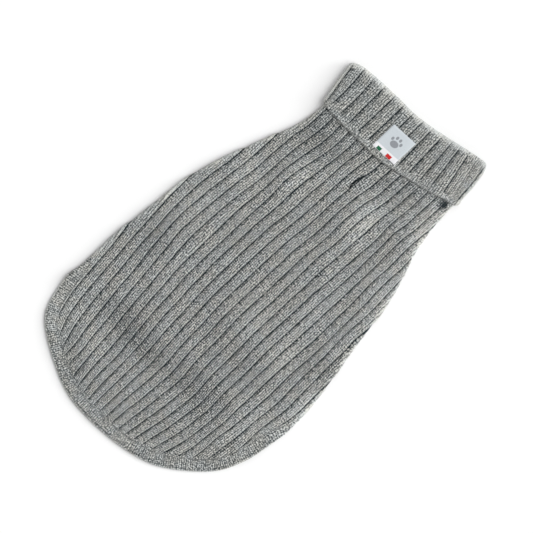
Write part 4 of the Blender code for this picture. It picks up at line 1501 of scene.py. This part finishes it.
    def execute(self, context):
        stations, sections = self.stations(), self.sections()
        points = self.points(stations, sections)
        wales = wale_number(np.append(stations[:, 2], self.ROUND - self.SIDE_START))
        middle = points[len(stations) // 5]
        steps = np.linalg.norm(np.diff(middle, axis=0, append=middle[:1]), axis=1)
        courses = np.concatenate([[0], np.cumsum(steps)]) / COURSE
        share, below, level, ribs, _ = sections.T
        part, value = stations[:, :1], stations[:, 1:2]
        turned_down = level > INNER_TUBE[1]
        at_top = (share == 1) * ease((below + 5.5) / 2.5) * turned_down
        near_top = (share == 1) * ease((below + 8.5) / 4) * turned_down
        at_foot = (share == 0) * (1 - ease((below - 1) / 3)) * turned_down
        outside = ease((value - 16) / 20)
        on_left, on_right = (part == self.LEFT) * outside, (part == self.RIGHT) * outside
        edges = np.maximum(at_top, 0.3 * at_foot)[None, :]
        shown = 1.0 - 0.7 * self.faint(value, part == self.BACK)
        shown = np.where((part == self.UNDER) | (part == self.LEFT), 0.3, shown)
        narrow = (part == self.BACK) * ease((value - 4.3) / 0.8)
        piece = closed_grid(
            "collar_ribs", yarn(context, "collar_yarn"), points,
            lambda row, section: (wales[row], -courses[section]),
            ribs=shown * ribs[None, :],
            # along the top fold, the foot and the sides the fibres stand up and get a painted
            # highlight
            fluff=np.maximum(edges, on_left + on_right),
            # painted light on the sides and the top fold, and the patches of painted light and shade
            pale=(
                0.05 * on_left + 0.03 * on_right + 0.14 * near_top[None, :]
                + patches(COLLAR_PAINTED_LIGHT_AND_SHADE, points[..., 0], points[..., 1])
            ),
            bold=0.7 * narrow + 0 * ribs[None, :],
        )
        dressed("collar")
        return {"FINISHED"}


class COAT_OT_label(bpy.types.Operator):
    """Models the woven label that is sewn on the collar"""

    bl_idname = "coat.label"
    bl_label = "Woven Label"

    @staticmethod
    def place(u, v):
        across = u - LABEL_WIDE / 2
        return LABEL_CENTRE + across + v * LABEL_LEAN, LABEL_FOOT + across * LABEL_RISE + v

    @staticmethod
    def put(u, v, x, y, outer):
        edge = np.minimum(np.minimum(u, LABEL_WIDE - u), np.minimum(v, LABEL_TALL - v))
        level = OUTER_TURN[1] + RIB_TOP + collar_flare(under_collar(x, y))
        sag = 0.22 * CLOTH_UNEVEN.at(x * 1.2, y * 1.2)
        out = 0.1 + outer * (0.25 + 0.3 * ease(edge / 1.2)) + sag
        return np.column_stack([x, y, NECK_MID + level + out])

    def execute(self, context):
        across, along = (
            np.unique([*np.arange(0, size, 1.0), 0.3, 0.7, size - 0.7, size - 0.3, size])
            for size in (LABEL_WIDE, LABEL_TALL)
        )
        shell = Shell(self.place, (across, along), (across[::3], along[::3]))
        weave = bpy.data.materials.get("label_weave") or label_finish(coat_colours(context))
        piece = shell.finish("woven_tape", weave, self.put, lambda u, v: (u, v))
        dressed("label")
        return {"FINISHED"}


class COAT_OT_stage(bpy.types.Operator):
    """Sets up the near-white floor, the soft light and the camera straight above"""

    bl_idname = "coat.stage"
    bl_label = "Stage"

    VIEW_MIDDLE = (1.3, 3.1)  # where the photograph's middle lies on the coat
    VIEW_TURN = 45.0
    FLOOR_GREYS = ((0.855, 0.855, 0.855, 1.0), (0.865, 0.865, 0.865, 1.0))

    def execute(self, context):
        sizes = context.scene.coat_stage
        self.floor(sizes)
        self.lights(context, sizes)
        self.camera(context, sizes)
        return {"FINISHED"}

    def floor(self, sizes):
        bm = bmesh.new()
        bmesh.ops.create_grid(bm, x_segments=1, y_segments=1, size=sizes.floor_side / 2)
        mesh = bpy.data.meshes.new("floor")
        bm.to_mesh(mesh)
        bm.free()
        finish = Finish("floor", 0.9, 0.0)
        grain = finish.noise(finish.place(), 2.0, 1.0)
        finish.feed("Base Color", finish.mix(grain, *self.FLOOR_GREYS))
        mesh.materials.append(finish.material)
        floor = bpy.data.objects.new("floor", mesh)
        bpy.context.scene.collection.objects.link(floor)

    @staticmethod
    def lights(context, sizes):
        lamps = (
            # name, strength, height above the floor, softness in degrees
            ("key", sizes.key_energy, sizes.key_height, 60),
            ("rake", sizes.rake, sizes.rake_height, 20),
        )
        for name, energy, height, softness in lamps:
            light = bpy.data.lights.new(name, "SUN")
            light.energy = energy
            light.angle = math.radians(softness)
            lamp = bpy.data.objects.new(name, light)
            lamp.rotation_euler = (0, math.pi / 2 - height, sizes.key_way)
            lamp.location = (1, 0.9, 1)
            context.scene.collection.objects.link(lamp)
        world = bpy.data.worlds.new("studio")
        world.use_nodes = True
        background = world.node_tree.nodes["Background"]
        background.inputs["Color"].default_value = (1, 1, 1, 1)
        background.inputs["Strength"].default_value = sizes.fill
        context.scene.world = world
        context.scene.view_settings.view_transform = "Standard"

    def camera(self, context, sizes):
        lens = bpy.data.cameras.new("camera")
        lens.sensor_width = 36.0
        lens.lens = sizes.lens
        camera = bpy.data.objects.new("camera", lens)
        x, y = (value * MM for value in self.VIEW_MIDDLE)
        camera.location = (x, y, sizes.frame_width * sizes.lens / lens.sensor_width)
        camera.rotation_euler = (0, 0, math.radians(self.VIEW_TURN))
        context.scene.collection.objects.link(camera)
        context.scene.camera = camera


class COAT_PT_sidebar(bpy.types.Panel):
    """Shows the coat's steps, colours and stage in the 3D view's sidebar"""

    bl_idname = "COAT_PT_sidebar"
    bl_label = "Ribbed Dog Coat"
    bl_space_type = "VIEW_3D"
    bl_region_type = "UI"
    bl_category = "Coat"

    STEPS = ("stage", "back", "belly", "hems", "cuffs", "collar", "label")

    def draw(self, context):
        steps = self.layout.column(align=True)
        for step in self.STEPS:
            steps.operator(f"coat.{step}")
        for group in (context.scene.coat_colours, context.scene.coat_stage):
            box = self.layout.box()
            for name in type(group).__annotations__:
                box.prop(group, name)


CLASSES = (
    YarnColours,
    StageSizes,
    COAT_OT_stage,
    COAT_OT_back,
    COAT_OT_belly,
    COAT_OT_hems,
    COAT_OT_cuffs,
    COAT_OT_collar,
    COAT_OT_label,
    COAT_PT_sidebar,
)


def register():
    for cls in CLASSES:
        bpy.utils.register_class(cls)
    bpy.types.Scene.coat_colours = PointerProperty(type=YarnColours)
    bpy.types.Scene.coat_stage = PointerProperty(type=StageSizes)


def unregister():
    del bpy.types.Scene.coat_stage
    del bpy.types.Scene.coat_colours
    for cls in reversed(CLASSES):
        bpy.utils.unregister_class(cls)


def main():
    register()
    bpy.ops.coat.stage()
    bpy.ops.coat.back()
    bpy.ops.coat.belly()
    bpy.ops.coat.hems()
    bpy.ops.coat.cuffs()
    bpy.ops.coat.collar()
    bpy.ops.coat.label()


if __name__ == "__main__":
    main()
